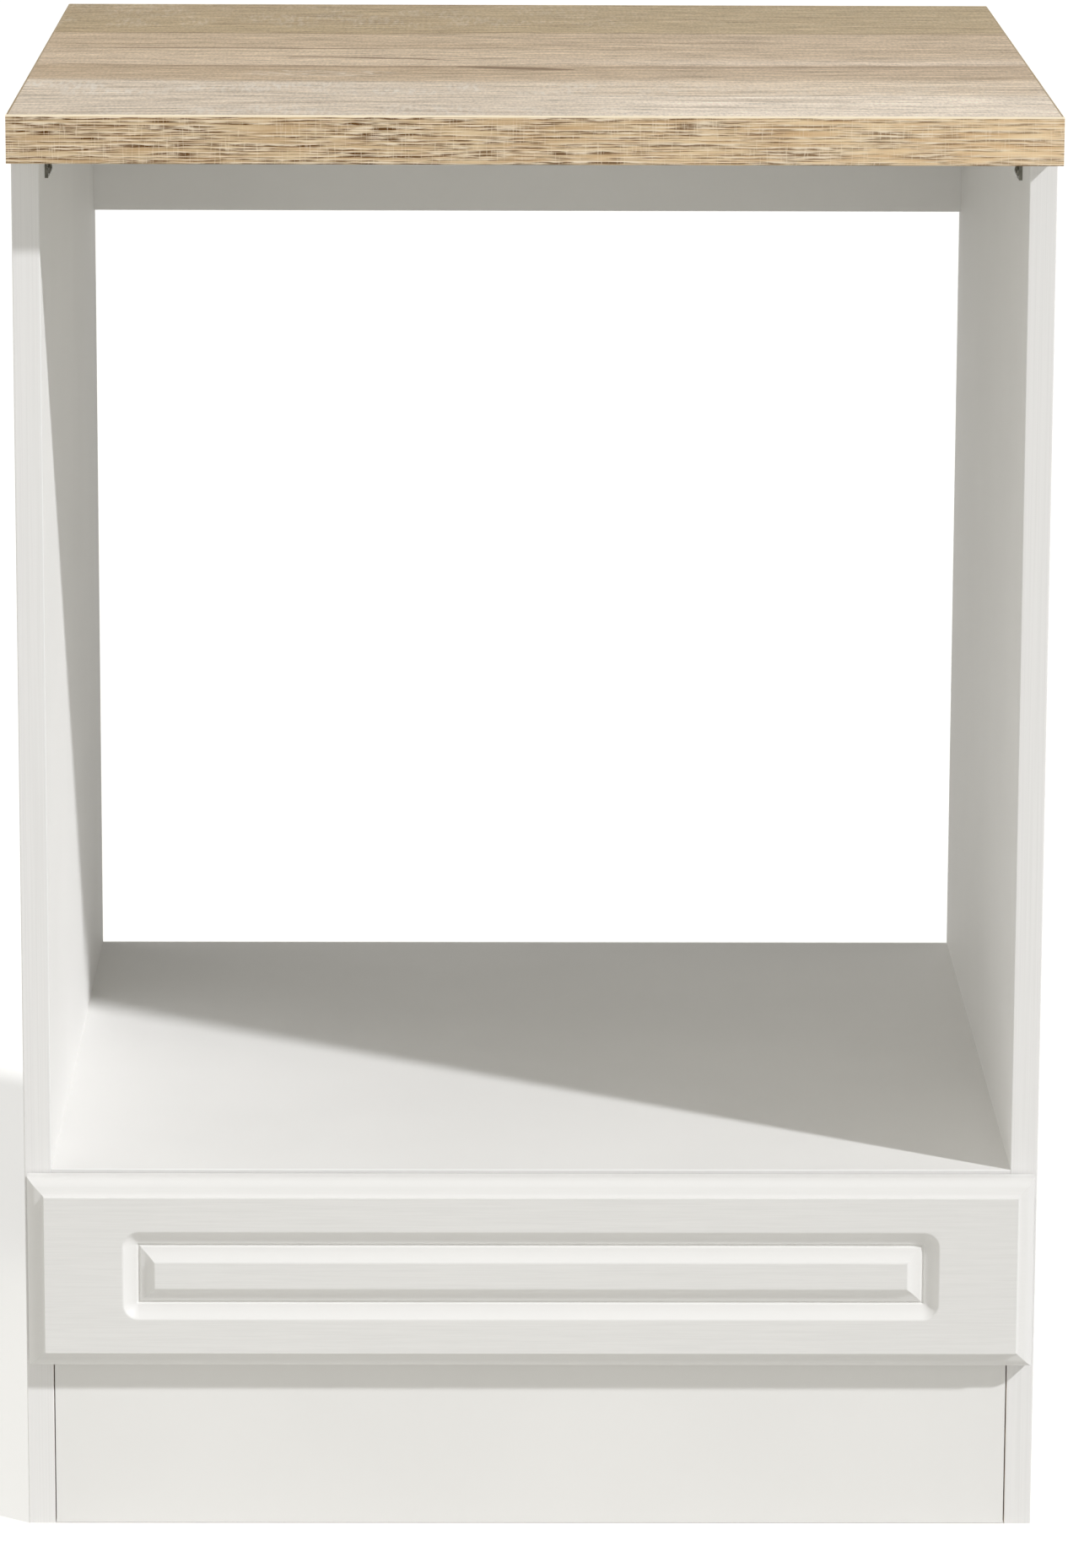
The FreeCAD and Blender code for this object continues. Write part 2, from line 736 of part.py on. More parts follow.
def axle(name, stand_off):
    # Its head is in the roller's recess, and its foot is riveted through the web, stand_off past the roller.
    shaft = "(Sizes.axle_diameter / 2)"
    head = "(Sizes.axle_head_diameter / 2)"
    seat = "(Sizes.roller_recess - Sizes.axle_gap)"
    foot = f"({roller_width} + {stand_off} + Sizes.runner_steel)"
    return turned(name, [
        ("0", f"({seat} - Sizes.axle_head)"),
        (head, f"({seat} - Sizes.axle_head)"),
        (head, seat),
        (shaft, seat),
        (shaft, foot),
        ("0", foot),
    ])


# a front roller is beside its own web, a rear roller keeps clear of the lip that runs between it and its web
front_stand_off = "Sizes.roller_side_gap"
rear_stand_off = "(2 * Sizes.roller_side_gap + Sizes.runner_steel)"
front_axle = axle("front_axle", front_stand_off)
rear_axle = axle("rear_axle", rear_stand_off)


def runners():
    cabinet_screws, drawer_screws, front_axles, rear_axles = [], [], [], []
    steel = "Sizes.runner_steel"
    front_reach = f"({steel} + {front_stand_off} + {roller_width})"
    rear_reach = f"({steel} + {rear_stand_off} + {roller_width})"
    hole = "(Sizes.axle_diameter + 2 * Sizes.fit_gap)"
    for name, side in sides.items():
        outward = towards(side)
        wall_x = signed(side, inner_half)
        drawer_x = signed(side, drawer_half)
        cabinet_name = f"cabinet_runner_{name}"
        drawer_name = f"drawer_runner_{name}"
        cabinet_runner(cabinet_name, side)
        drawer_runner(drawer_name, side)
        start = (signed(side, f"({inner_half} - {front_reach})"), front_roller_y, roller_height)
        wheel = roller(f"front_roller_{name}")
        wheel.Placement.Rotation = turns[outward]
        place(wheel, start)
        node(f"front_roller_{name}", wheel)
        front_axles.append(copy_of(front_axle, start, turns[outward]))
        drill([cabinet_name], (wall_x, front_roller_y, roller_height), opposite(outward), hole, steel)
        start = (signed(side, f"({drawer_half} + {rear_reach})"), rear_roller_y, roller_height)
        wheel = roller(f"rear_roller_{name}")
        wheel.Placement.Rotation = turns[opposite(outward)]
        place(wheel, start)
        node(f"rear_roller_{name}", wheel)
        rear_axles.append(copy_of(rear_axle, start, turns[opposite(outward)]))
        drill([drawer_name], (drawer_x, rear_roller_y, roller_height), outward, hole, steel)
        first = f"({front_roller_y} + Sizes.runner_screw_inset)"
        last = f"({rear_roller_y} - Sizes.runner_screw_inset)"
        for y in (first, f"(({first} + {last}) / 2)", last):
            seat = (wall_x, y, runner_screw_z)
            cabinet_screws.append(flat_drive(seat, outward, [cabinet_name], [f"{name}_side_panel"]))
        for y in (first, last):
            seat = (drawer_x, y, runner_screw_z)
            drawer_screws.append(flat_drive(seat, opposite(outward), [drawer_name], [f"drawer_side_{name}"]))
    node("front_roller_axles", group("front_roller_axles_set", front_axles))
    node("rear_roller_axles", group("rear_roller_axles_set", rear_axles))
    node("cabinet_runner_screws", group("cabinet_runner_screws_set", cabinet_screws))
    node("drawer_runner_screws", group("drawer_runner_screws_set", drawer_screws))


# Drawer

def drawer_box():
    height = f"({drawer_high} - {drawer_low})"
    groove = "(Sizes.bottom_sheet + 2 * Sizes.fit_gap)"
    groove_low = f"({sheet_low} - Sizes.fit_gap)"
    sheet_half = f"({drawer_inner_half} + Sizes.bottom_groove - Sizes.running_gap)"
    sheet_front = f"({front_back_face} - Sizes.bottom_groove + Sizes.running_gap)"
    for name, side in sides.items():
        low_x = f"(-{drawer_half})" if side == left else drawer_inner_half
        extent = ("Sizes.drawer_board", runner_length, height)
        panel(f"drawer_side_{name}", (low_x, front_back_face, drawer_low), extent)
    back_y = f"({drawer_back_face} - Sizes.drawer_board)"
    back_low = f"({sheet_low} + Sizes.bottom_sheet)"
    width = f"(2 * {drawer_inner_half})"
    extent = (width, "Sizes.drawer_board", f"({drawer_high} - {back_low})")
    panel("drawer_back", (f"(-{drawer_inner_half})", back_y, back_low), extent)
    extent = (f"(2 * {sheet_half})", f"({drawer_back_face} - {sheet_front})", "Sizes.bottom_sheet")
    panel("drawer_bottom", (f"(-{sheet_half})", sheet_front, sheet_low), extent)
    # one slot for the sheet, cut into the sides and the front
    slot_half = f"({drawer_inner_half} + Sizes.bottom_groove)"
    slot_front = f"({front_back_face} - Sizes.bottom_groove)"
    extent = (f"(2 * {slot_half})", f"({drawer_back_face} - {slot_front})", groove)
    slot = box("bottom_slot", (f"(-{slot_half})", slot_front, groove_low), extent)
    cut_from(["drawer_side_left", "drawer_side_right", "drawer_front"], slot)


def drawer_fittings():
    bolts, cams, dowels, back_screws = [], [], [], []
    height = f"({drawer_high} - {drawer_low})"
    cam_z = f"({drawer_low} + {height} / 2)"
    peg_z = f"({drawer_high} - Sizes.small_dowel_diameter)"
    back_y = f"({drawer_back_face} - Sizes.drawer_board / 2)"
    for name, side in sides.items():
        board_name = f"drawer_side_{name}"
        middle_x = signed(side, f"({drawer_half} - Sizes.drawer_board / 2)")
        meeting = (middle_x, front_back_face, cam_z)
        bolt, cam = bolt_and_cam(
            meeting, "-y", towards(-side), board_name, "drawer_front", small_cam_master,
            "Sizes.small_cam_diameter", small_cam_depth, "Sizes.drawer_board / 2",
        )
        bolts.append(bolt)
        cams.append(cam)
        dowels.append(dowel(
            (middle_x, front_back_face, peg_z), "-y", "Sizes.small_dowel_diameter",
            "Sizes.small_dowel_length", "Sizes.small_dowel_in_front", [board_name, "drawer_front"],
        ))
        seat_x = signed(side, f"({drawer_half} - Sizes.runner_steel)")
        for z in (cam_z, peg_z):
            seat = (seat_x, back_y, z)
            sink(seat, towards(-side), [board_name])
            back_screws.append(drive(
                back_screw, seat, towards(-side), "Sizes.flat_shank", "Sizes.back_screw_length",
                [board_name, "drawer_back"],
            ))
    node("drawer_cam_bolts", group("drawer_cam_bolts_set", bolts))
    node("drawer_cam_locks", group("drawer_cam_locks_set", cams))
    node("drawer_dowels", group("drawer_dowels_set", dowels))
    node("drawer_back_screws", group("drawer_back_screws_set", back_screws))
    sheet_screws = []
    reach = f"({drawer_inner_half} - Sizes.back_screw_inset)"
    for x in (f"(-{reach})", "0", reach):
        seat = (x, back_y, sheet_low)
        hole = "(Sizes.pan_shank + 2 * Sizes.fit_gap)"
        drill(["drawer_bottom", "drawer_back"], seat, "+z", hole, "Sizes.pan_length")
        sheet_screws.append(copy_of(pan_screw, seat, turns["+z"]))
    node("drawer_bottom_screws", group("drawer_bottom_screws_set", sheet_screws))


def ogee_cut(edge, inward, face):
    # The waste that the edge cutter takes: wide rounded nose, sloping ledge, cove and a small step up to the
    # face. The ledge runs smoothly into the nose and into the cove.
    # edge and face place the outline, inward tells which way the board lies from the edge.
    def across(distance):
        return f"({edge} {inward} {distance})"

    def deep(distance):
        return f"({face} + {distance})"

    step = "Sizes.ogee_step"
    nose = "Sizes.ogee_nose"
    cove = "Sizes.ogee_cove"
    slant = "sqrt(Sizes.ogee_ledge ^ 2 + Sizes.ogee_drop ^ 2)"
    lean = f"(Sizes.ogee_drop / {slant})"
    run = f"(Sizes.ogee_ledge / {slant})"
    cove_low = f"({step} + {cove} * {run})"
    ledge_low = f"({cove_low} + Sizes.ogee_drop)"
    nose_low = f"({ledge_low} + {nose} * {run})"
    nose_end = f"({nose} * (1 - {lean}))"
    ledge_end = f"({nose_end} + Sizes.ogee_ledge)"
    cove_end = f"({ledge_end} + {cove} * (1 - {lean}))"
    out = "(-Sizes.cutter_overrun)"
    return [
        (across("0"), deep(nose_low), nose, across(nose), deep(nose_low)),
        (across(nose_end), deep(ledge_low)),
        (across(ledge_end), deep(cove_low), cove, across(f"({cove_end} - {cove})"), deep(step)),
        (across(cove_end), deep(step)),
        (across(cove_end), deep(out)),
        (across(out), deep(out)),
        (across(out), deep(nose_low)),
    ]


def groove_flank(line, way, face):
    # One flank of the groove from its bottom up to the face: vein, long cove and rounded shoulder.
    def across(distance):
        return f"({line} {way} {distance})"

    def deep(distance):
        return f"({face} + {distance})"

    half = "(Sizes.groove_width / 2)"
    vein_top = "(Sizes.groove_depth - Sizes.vein_depth)"
    foot = (value("Sizes.vein_width / 2"), value(vein_top))
    knee = (value(f"({half} - Sizes.shoulder_run)"), value("Sizes.shoulder_drop"))
    chord = ((knee[0] - foot[0]) ** 2 + (knee[1] - foot[1]) ** 2) ** 0.5
    rise = (value("Sizes.groove_cove") ** 2 - (chord / 2) ** 2) ** 0.5
    # the cove's centre lies on the waste side of the flank
    cove_u = (foot[0] + knee[0]) / 2 - rise * (foot[1] - knee[1]) / chord
    cove_v = (foot[1] + knee[1]) / 2 - rise * (knee[0] - foot[0]) / chord
    return [
        (across("(Sizes.vein_flat / 2)"), deep("Sizes.groove_depth")),
        (across("(Sizes.vein_width / 2)"), deep(vein_top), "Sizes.groove_cove", across(cove_u), deep(cove_v)),
        (
            across(f"({half} - Sizes.shoulder_run)"), deep("Sizes.shoulder_drop"),
            "Sizes.shoulder_round", across(half), deep("Sizes.shoulder_round"),
        ),
        (across(half), deep("0")),
        (across(half), deep("(-Sizes.cutter_overrun)")),
    ]


def reversed_flank(flank):
    # The same flank walked the other way: an arc belongs to the corner that it leaves.
    result = []
    for index in range(len(flank) - 1, -1, -1):
        bend = flank[index - 1][2:] if index else ()
        result.append(flank[index][:2] + bend)
    return result


def groove_cut(line, face):
    return groove_flank(line, "+", face) + reversed_flank(groove_flank(line, "-", face))


def drawer_front():
    body = prism("drawer_front_slab", "XZ_Plane", [
        (f"(-{front_width} / 2)", f"(-{front_height} / 2)"),
        (f"({front_width} / 2)", f"(-{front_height} / 2)"),
        (f"({front_width} / 2)", f"({front_height} / 2)"),
        (f"(-{front_width} / 2)", f"({front_height} / 2)"),
    ], "Sizes.front_thick")
    face = "(-Sizes.front_thick)"
    path_x = f"({front_width} / 2 - Sizes.groove_inset_side - Sizes.groove_width / 2)"
    path_z = f"({front_height} / 2 - Sizes.groove_inset_top - Sizes.groove_width / 2)"

    def pocket(name, role, outlines, length):
        sketch = sketch_on(body, name + "_outline", role)
        for corners in outlines:
            outline(sketch, corners)
        cut = body.newObject("PartDesign::Pocket", name)
        cut.Profile = sketch
        cut.SideType = "Symmetric"
        cut.setExpression("Length", length)

    half_x = f"({front_width} / 2)"
    half_z = f"({front_height} / 2)"
    long_edges = [swapped(ogee_cut(half_z, "-", face)), swapped(ogee_cut(f"(-{half_z})", "+", face))]
    pocket("long_edge_profile", "YZ_Plane", long_edges, f"({front_width} + 2 * Sizes.cutter_overrun)")
    short_edges = [ogee_cut(half_x, "-", face), ogee_cut(f"(-{half_x})", "+", face)]
    pocket("short_edge_profile", "XY_Plane", short_edges, f"({front_height} + 2 * Sizes.cutter_overrun)")
    rails = [swapped(groove_cut(path_z, face)), swapped(groove_cut(f"(-{path_z})", face))]
    pocket("long_groove", "YZ_Plane", rails, f"(2 * {path_x})")
    stiles = [groove_cut(path_x, face), groove_cut(f"(-{path_x})", face)]
    pocket("short_groove", "XY_Plane", stiles, f"(2 * {path_z})")
    # the cutter turns on the spot at each corner, which rounds the outer corner of the groove
    for corner, (x, z) in enumerate(((1, 1), (1, -1), (-1, 1), (-1, -1))):
        sketch = sketch_on(body, f"corner_section_{corner}", "XY_Plane")
        sketch.setExpression("AttachmentOffset.Base.x", f"{x} * {path_x}")
        sketch.setExpression("AttachmentOffset.Base.z", f"{z} * {path_z}")
        depth = f"({face} + Sizes.groove_depth)"
        top = f"({face} - Sizes.cutter_overrun)"
        outline(sketch, [("0", depth)] + groove_flank("0", "+", face) + [("0", top)])
        turn = body.newObject("PartDesign::Groove", f"corner_turn_{corner}")
        turn.Profile = sketch
        turn.ReferenceAxis = (sketch, ["V_Axis"])
    place(body, ("0", front_back_face, f"({front_low} + {front_height} / 2)"))
    node("drawer_front", body)


def bumpers():
    pads = []
    x = f"({half_width} - Sizes.board / 2)"
    thick = "(Sizes.front_gap - Sizes.running_gap)"
    heights = (f"({front_low} + Sizes.bumper_inset)", f"({front_low} + {front_height} - Sizes.bumper_inset)")
    for side in sides.values():
        for z in heights:
            spot = (signed(side, x), front_back_face, z)
            pads.append(rod("bumper", spot, "+y", "Sizes.bumper_diameter", thick))
    node("front_bumpers", group("front_bumpers_set", pads))


side_panels()
cross_board("oven_shelf", shelf_under)
cross_board("bottom_panel", "Sizes.plinth_height")
rear_rail()
plinth_and_back()
worktop()
brackets()
carcass_fittings()
back_sheet_screws()
runners()
drawer_box()
drawer_fittings()
drawer_front()
bumpers()

for name, blank in blanks.items():
    if name in cuts:
        piece = doc.addObject("Part::Cut", name + "_drilled")
        piece.Base = blank
        piece.Tool = group(name + "_tools", cuts[name])
    else:
        piece = blank
    piece.Label = name
    nodes.append(piece)
doc.recompute()

faults = [item.Name for item in doc.Objects if {"Invalid", "Error"} & set(item.State)]
faults += [item.Label for item in nodes if item.Shape.isNull() or not item.Shape.isValid()]
faults += [item.Label for item in nodes if not item.Shape.Solids]
if faults:
    raise RuntimeError("not built: " + ", ".join(faults))

os.makedirs("parts", exist_ok=True)
for item in nodes:
    item.Shape.exportStep(f"parts/{item.Label}.step")
print(len(nodes), "nodes written")
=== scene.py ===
import math
import bpy
from mathutils import Euler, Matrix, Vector


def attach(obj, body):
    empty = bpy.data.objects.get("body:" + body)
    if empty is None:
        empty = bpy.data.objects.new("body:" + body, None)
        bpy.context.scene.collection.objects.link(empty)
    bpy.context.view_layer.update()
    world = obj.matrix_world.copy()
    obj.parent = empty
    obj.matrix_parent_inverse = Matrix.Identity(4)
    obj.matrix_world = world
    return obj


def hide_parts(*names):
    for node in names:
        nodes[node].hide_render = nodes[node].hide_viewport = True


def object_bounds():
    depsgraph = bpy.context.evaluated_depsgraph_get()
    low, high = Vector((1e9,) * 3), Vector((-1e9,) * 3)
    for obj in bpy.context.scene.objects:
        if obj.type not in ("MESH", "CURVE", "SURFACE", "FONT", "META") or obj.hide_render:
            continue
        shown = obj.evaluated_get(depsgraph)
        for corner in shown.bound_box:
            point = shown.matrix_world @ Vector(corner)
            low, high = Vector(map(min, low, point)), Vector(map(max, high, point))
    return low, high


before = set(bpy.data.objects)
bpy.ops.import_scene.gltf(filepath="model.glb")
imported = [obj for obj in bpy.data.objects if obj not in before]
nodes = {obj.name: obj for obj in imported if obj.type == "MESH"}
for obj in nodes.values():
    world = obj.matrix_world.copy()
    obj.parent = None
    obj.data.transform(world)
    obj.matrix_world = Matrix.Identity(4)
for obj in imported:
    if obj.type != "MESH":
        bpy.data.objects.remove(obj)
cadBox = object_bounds()
halfWide, halfDeep, topHeight = cadBox[1]   # the worktop fills the frame's box; metres
scene = bpy.context.scene
print("frame loaded:", len(nodes), "pieces")


def hexToLinear(text):
    values = [int(text[i:i + 2], 16) / 255 for i in (1, 3, 5)]
    linear = [v / 12.92 if v <= 0.04045 else ((v + 0.055) / 1.055) ** 2.4 for v in values]
    return (*linear, 1.0)


# adds one node: settings are its properties, links its inputs (a node for its first output, a socket
# or a plain value), stops the colours of a ramp
def addNode(tree, kind, settings=None, links=None, stops=None):
    node = tree.nodes.new(kind)
    for name, value in (settings or {}).items():
        setattr(node, name, value)
    for name, value in (links or {}).items():
        if isinstance(value, bpy.types.Node):
            value = value.outputs[0]
        if isinstance(value, bpy.types.NodeSocket):
            tree.links.new(value, node.inputs[name])
        else:
            node.inputs[name].default_value = value
    if stops:
        ramp = node.color_ramp
        while len(ramp.elements) > 1:
            ramp.elements.remove(ramp.elements[-1])
        for i, (position, colour) in enumerate(stops):
            stop = ramp.elements[0] if i == 0 else ramp.elements.new(position)
            stop.position = position
            stop.color = hexToLinear(colour) if isinstance(colour, str) else (colour, colour, colour, 1)
    return node


# what is the same all over a surface goes straight to the shader
def startMaterial(name, look):
    material = bpy.data.materials.new(name)
    material.use_nodes = True
    tree = material.node_tree
    tree.nodes.clear()
    shader = addNode(tree, "ShaderNodeBsdfPrincipled")
    addNode(tree, "ShaderNodeOutputMaterial", links={"Surface": shader})
    for value, socket in (("specular", "Specular IOR Level"), ("metallic", "Metallic")):
        if value in look:
            shader.inputs[socket].default_value = look[value]
    return material, tree, shader


# joins colour, gloss and relief to the shader; the relief's depth is in metres
def finishMaterial(tree, shader, colour, gloss, height, strength, depth):
    bump = addNode(tree, "ShaderNodeBump", {}, {"Height": height, "Strength": strength, "Distance": depth})
    tree.links.new(colour, shader.inputs["Base Color"])
    tree.links.new(gloss, shader.inputs["Roughness"])
    tree.links.new(bump.outputs[0], shader.inputs["Normal"])


# one fine pattern drives both the gloss and the relief
def finishByPattern(tree, shader, look, colour, pattern):
    gloss = addNode(tree, "ShaderNodeMapRange", {}, {
        0: pattern, 1: 0.3, 2: 0.7, 3: look["roughness"][0], 4: look["roughness"][1]})
    finishMaterial(tree, shader, colour, gloss.outputs[0], pattern, look["relief"], look["reliefDepth"])


# a pattern's size in millimetres along each axis, as the scale of a Mapping node
def patternScale(x, y, z):
    return (1000 / x, 1000 / y, 1000 / z)


def dress(material, *names):
    for name in names:
        mesh = nodes[name].data
        mesh.materials.clear()
        mesh.materials.append(material)


# Melamine-faced particle board: resin paper pressed on with a fine pearl plate, so a satin white with
# a barely uneven gloss. The cut faces that no edging hides show the pressed chips.
melamineBoard = {
    "white": ("#F3F2F0", "#F6F5F3"),
    "cloudSize": 170.0,            # faint clouds in the white, mm
    "pearlSize": 2.4,              # real pearls are about 0.4 mm, too fine to show, so drawn coarser
    "chips": ("#8E6B43", "#B8925F", "#D2B184", "#E3C9A0"),
    "chipSize": (5.0, 1.8),        # length and thickness of a chip, mm
    "roughness": (0.58, 0.68),
    "cutRoughness": 0.9,
    "relief": (0.05, 0.8),         # on the faces and on the cuts
    "reliefDepth": 0.0004,
    "specular": 0.22,
}


# chips lie flat in the board: long across the cut, thin through the board
def addChips(tree, spot, thinAxis):
    long, thin = melamineBoard["chipSize"]
    sizes = [thin if axis == thinAxis else long for axis in "XYZ"]
    flat = addNode(tree, "ShaderNodeMapping", {}, {0: spot, "Scale": patternScale(*sizes)}).outputs[0]
    chip = addNode(tree, "ShaderNodeTexVoronoi", {}, {"Vector": flat, "Scale": 1})
    shade = addNode(tree, "ShaderNodeSeparateColor", {}, {0: chip.outputs["Color"]})
    stops = list(zip((0.0, 0.3, 0.65, 1.0), melamineBoard["chips"]))
    chips = addNode(tree, "ShaderNodeValToRGB", {}, {0: shade}, stops).outputs[0]
    return flat, chips


def makeMelamine(name, faceAxis, rawEdges=True):
    look = melamineBoard
    material, tree, shader = startMaterial(name, look)
    place = addNode(tree, "ShaderNodeTexCoord").outputs
    spot = place["Object"]
    cloud = addNode(tree, "ShaderNodeMapping", {}, {
        0: spot, "Scale": patternScale(*[look["cloudSize"]] * 3)})
    tone = addNode(tree, "ShaderNodeTexNoise", {}, {"Vector": cloud, "Scale": 1, "Detail": 2})
    white = addNode(tree, "ShaderNodeValToRGB", {}, {0: tone},
                    list(zip((0.35, 0.65), look["white"]))).outputs[0]
    pearl = addNode(tree, "ShaderNodeMapping", {}, {
        0: spot, "Scale": patternScale(*[look["pearlSize"]] * 3)})
    pearls = addNode(tree, "ShaderNodeTexNoise", {}, {
        "Vector": pearl, "Scale": 1, "Detail": 1}).outputs[0]
    gloss = addNode(tree, "ShaderNodeMapRange", {}, {
        0: pearls, 1: 0.3, 2: 0.7, 3: look["roughness"][0], 4: look["roughness"][1]}).outputs[0]
    onFace, onCut = look["relief"]
    if not rawEdges:
        finishMaterial(tree, shader, white, gloss, pearls, onFace, look["reliefDepth"])
        return material
    flat, chips = addChips(tree, spot, faceAxis)
    pores = addNode(tree, "ShaderNodeTexNoise", {}, {"Vector": flat, "Scale": 1.7, "Detail": 3}).outputs[0]
    dark = addNode(tree, "ShaderNodeMapRange", {}, {0: pores, 1: 0.36, 2: 0.46, 3: 0.45, 4: 1.0})
    raw = addNode(tree, "ShaderNodeMix", {"data_type": "RGBA", "blend_type": "MULTIPLY"}, {
        0: 1.0, 6: chips, 7: dark})
    facing = addNode(tree, "ShaderNodeSeparateXYZ", {}, {0: place["Normal"]})
    across = addNode(tree, "ShaderNodeMath", {"operation": "ABSOLUTE"}, {0: facing.outputs[faceAxis]})
    cut = addNode(tree, "ShaderNodeMath", {"operation": "LESS_THAN"}, {0: across, 1: 0.5}).outputs[0]
    colour = addNode(tree, "ShaderNodeMix", {"data_type": "RGBA"}, {0: cut, 6: white, 7: raw.outputs[2]})
    rough = addNode(tree, "ShaderNodeMix", {}, {0: cut, 2: gloss, 3: look["cutRoughness"]})
    height = addNode(tree, "ShaderNodeMix", {}, {0: cut, 2: pearls, 3: pores})
    strength = addNode(tree, "ShaderNodeMapRange", {}, {0: cut, 3: onFace, 4: onCut})
    finishMaterial(tree, shader, colour.outputs[2], rough.outputs[0], height.outputs[0], strength.outputs[0],
                   look["reliefDepth"])
    return material


dress(makeMelamine("melamineBoardPressedUpright", "X"), "left_side_panel", "right_side_panel")
dress(makeMelamine("melamineBoardPressedLevel", "Z"), "oven_shelf", "bottom_panel")
dress(makeMelamine("melamineBoardPressedCross", "Y"), "rear_top_rail", "plinth_board")
dress(makeMelamine("melamineBoardWrapped", "X", False),
      "drawer_side_left", "drawer_side_right", "drawer_back")
print("boards dressed")


# ABS edging, extruded and scraped flush after gluing: a little smoother than the boards, with faint
# lines along its length from the scraper.
absEdging = {
    "white": ("#F2F1F0", "#F7F6F5"),
    "scraperLine": (0.9, 160.0),   # width and length of a scraper line, mm
    "roughness": (0.45, 0.55),
    "relief": 0.06,
    "reliefDepth": 0.0003,
    "specular": 0.3,
}


def makeEdging(name, lengthAxis):
    look = absEdging
    material, tree, shader = startMaterial(name, look)
    spot = addNode(tree, "ShaderNodeTexCoord").outputs["Object"]
    wide, long = look["scraperLine"]
    sizes = [long if axis == lengthAxis else wide for axis in "XYZ"]
    along = addNode(tree, "ShaderNodeMapping", {}, {0: spot, "Scale": patternScale(*sizes)})
    lines = addNode(tree, "ShaderNodeTexNoise", {}, {"Vector": along, "Scale": 1, "Detail": 2}).outputs[0]
    white = addNode(tree, "ShaderNodeValToRGB", {}, {0: lines}, list(zip((0.3, 0.6), look["white"])))
    finishByPattern(tree, shader, look, white.outputs[0], lines)
    return material


dress(makeEdging("absEdgingExtrudedUpright", "Z"), "left_side_edging", "right_side_edging")
dress(makeEdging("absEdgingExtrudedLevel", "X"),
      "oven_shelf_edging", "bottom_panel_edging", "rear_top_rail_edging")


# Vinyl foil drawn by vacuum over routed MDF: its printed and embossed grain runs level along the front.
# The foil stretches over the profile, so the grain fades there and only the soft gloss is left.
foilFront = {
    "white": ("#ECEBE9", "#F1F0EE"),
    "grain": (60.0, 1.4),          # length and height of a grain line, mm
    "fineGrain": (24.0, 0.6),      # real lines are about 0.2 mm, drawn coarser so that they show
    "flatFacing": (-0.9, -0.99),   # way along Y that a face looks where the grain begins and where it is full
    "stretchedTone": 0.56,         # place in the white where the foil is stretched
    "roughness": (0.4, 0.52),
    "relief": 0.06,
    "reliefDepth": 0.0003,
    "specular": 0.35,
}


def makeFoil():
    look = foilFront
    material, tree, shader = startMaterial("vinylFoilVacuumDrawn", look)
    place = addNode(tree, "ShaderNodeTexCoord").outputs
    grains = []
    for (long, high), detail in ((look["grain"], 3), (look["fineGrain"], 2)):
        drawn = addNode(tree, "ShaderNodeMapping", {}, {
            0: place["Object"], "Scale": patternScale(long, long, high)})
        grains.append(addNode(tree, "ShaderNodeTexNoise", {}, {
            "Vector": drawn, "Scale": 1, "Detail": detail}).outputs[0])
    both = addNode(tree, "ShaderNodeMix", {}, {0: 0.5, 2: grains[0], 3: grains[1]})
    facing = addNode(tree, "ShaderNodeSeparateXYZ", {}, {0: place["Normal"]})
    begin, full = look["flatFacing"]
    front = addNode(tree, "ShaderNodeMapRange", {}, {0: facing.outputs["Y"], 1: begin, 2: full})
    printed = addNode(tree, "ShaderNodeMix", {}, {0: front, 2: look["stretchedTone"], 3: both}).outputs[0]
    white = addNode(tree, "ShaderNodeValToRGB", {}, {0: printed}, list(zip((0.34, 0.6), look["white"])))
    finishByPattern(tree, shader, look, white.outputs[0], printed)
    return material


dress(makeFoil(), "drawer_front")


# Hardboard, lacquered white on the side that faces into the cabinet and brown on the other, where the
# wet fibre mat was pressed against a wire screen.
hardboardSheet = {
    "lacquer": "#EAE9E4",
    "fibre": ("#7A5535", "#9C744B"),
    "feltSize": 7.0,               # clumps of fibre, mm
    "screenPitch": 2.0,            # the wire screen's pitch is about 1.2 mm, drawn coarser so that it shows
    "roughness": (0.8, 0.45),      # on the brown and on the white side
    "relief": (0.6, 0.05),
    "reliefDepth": 0.0005,
}


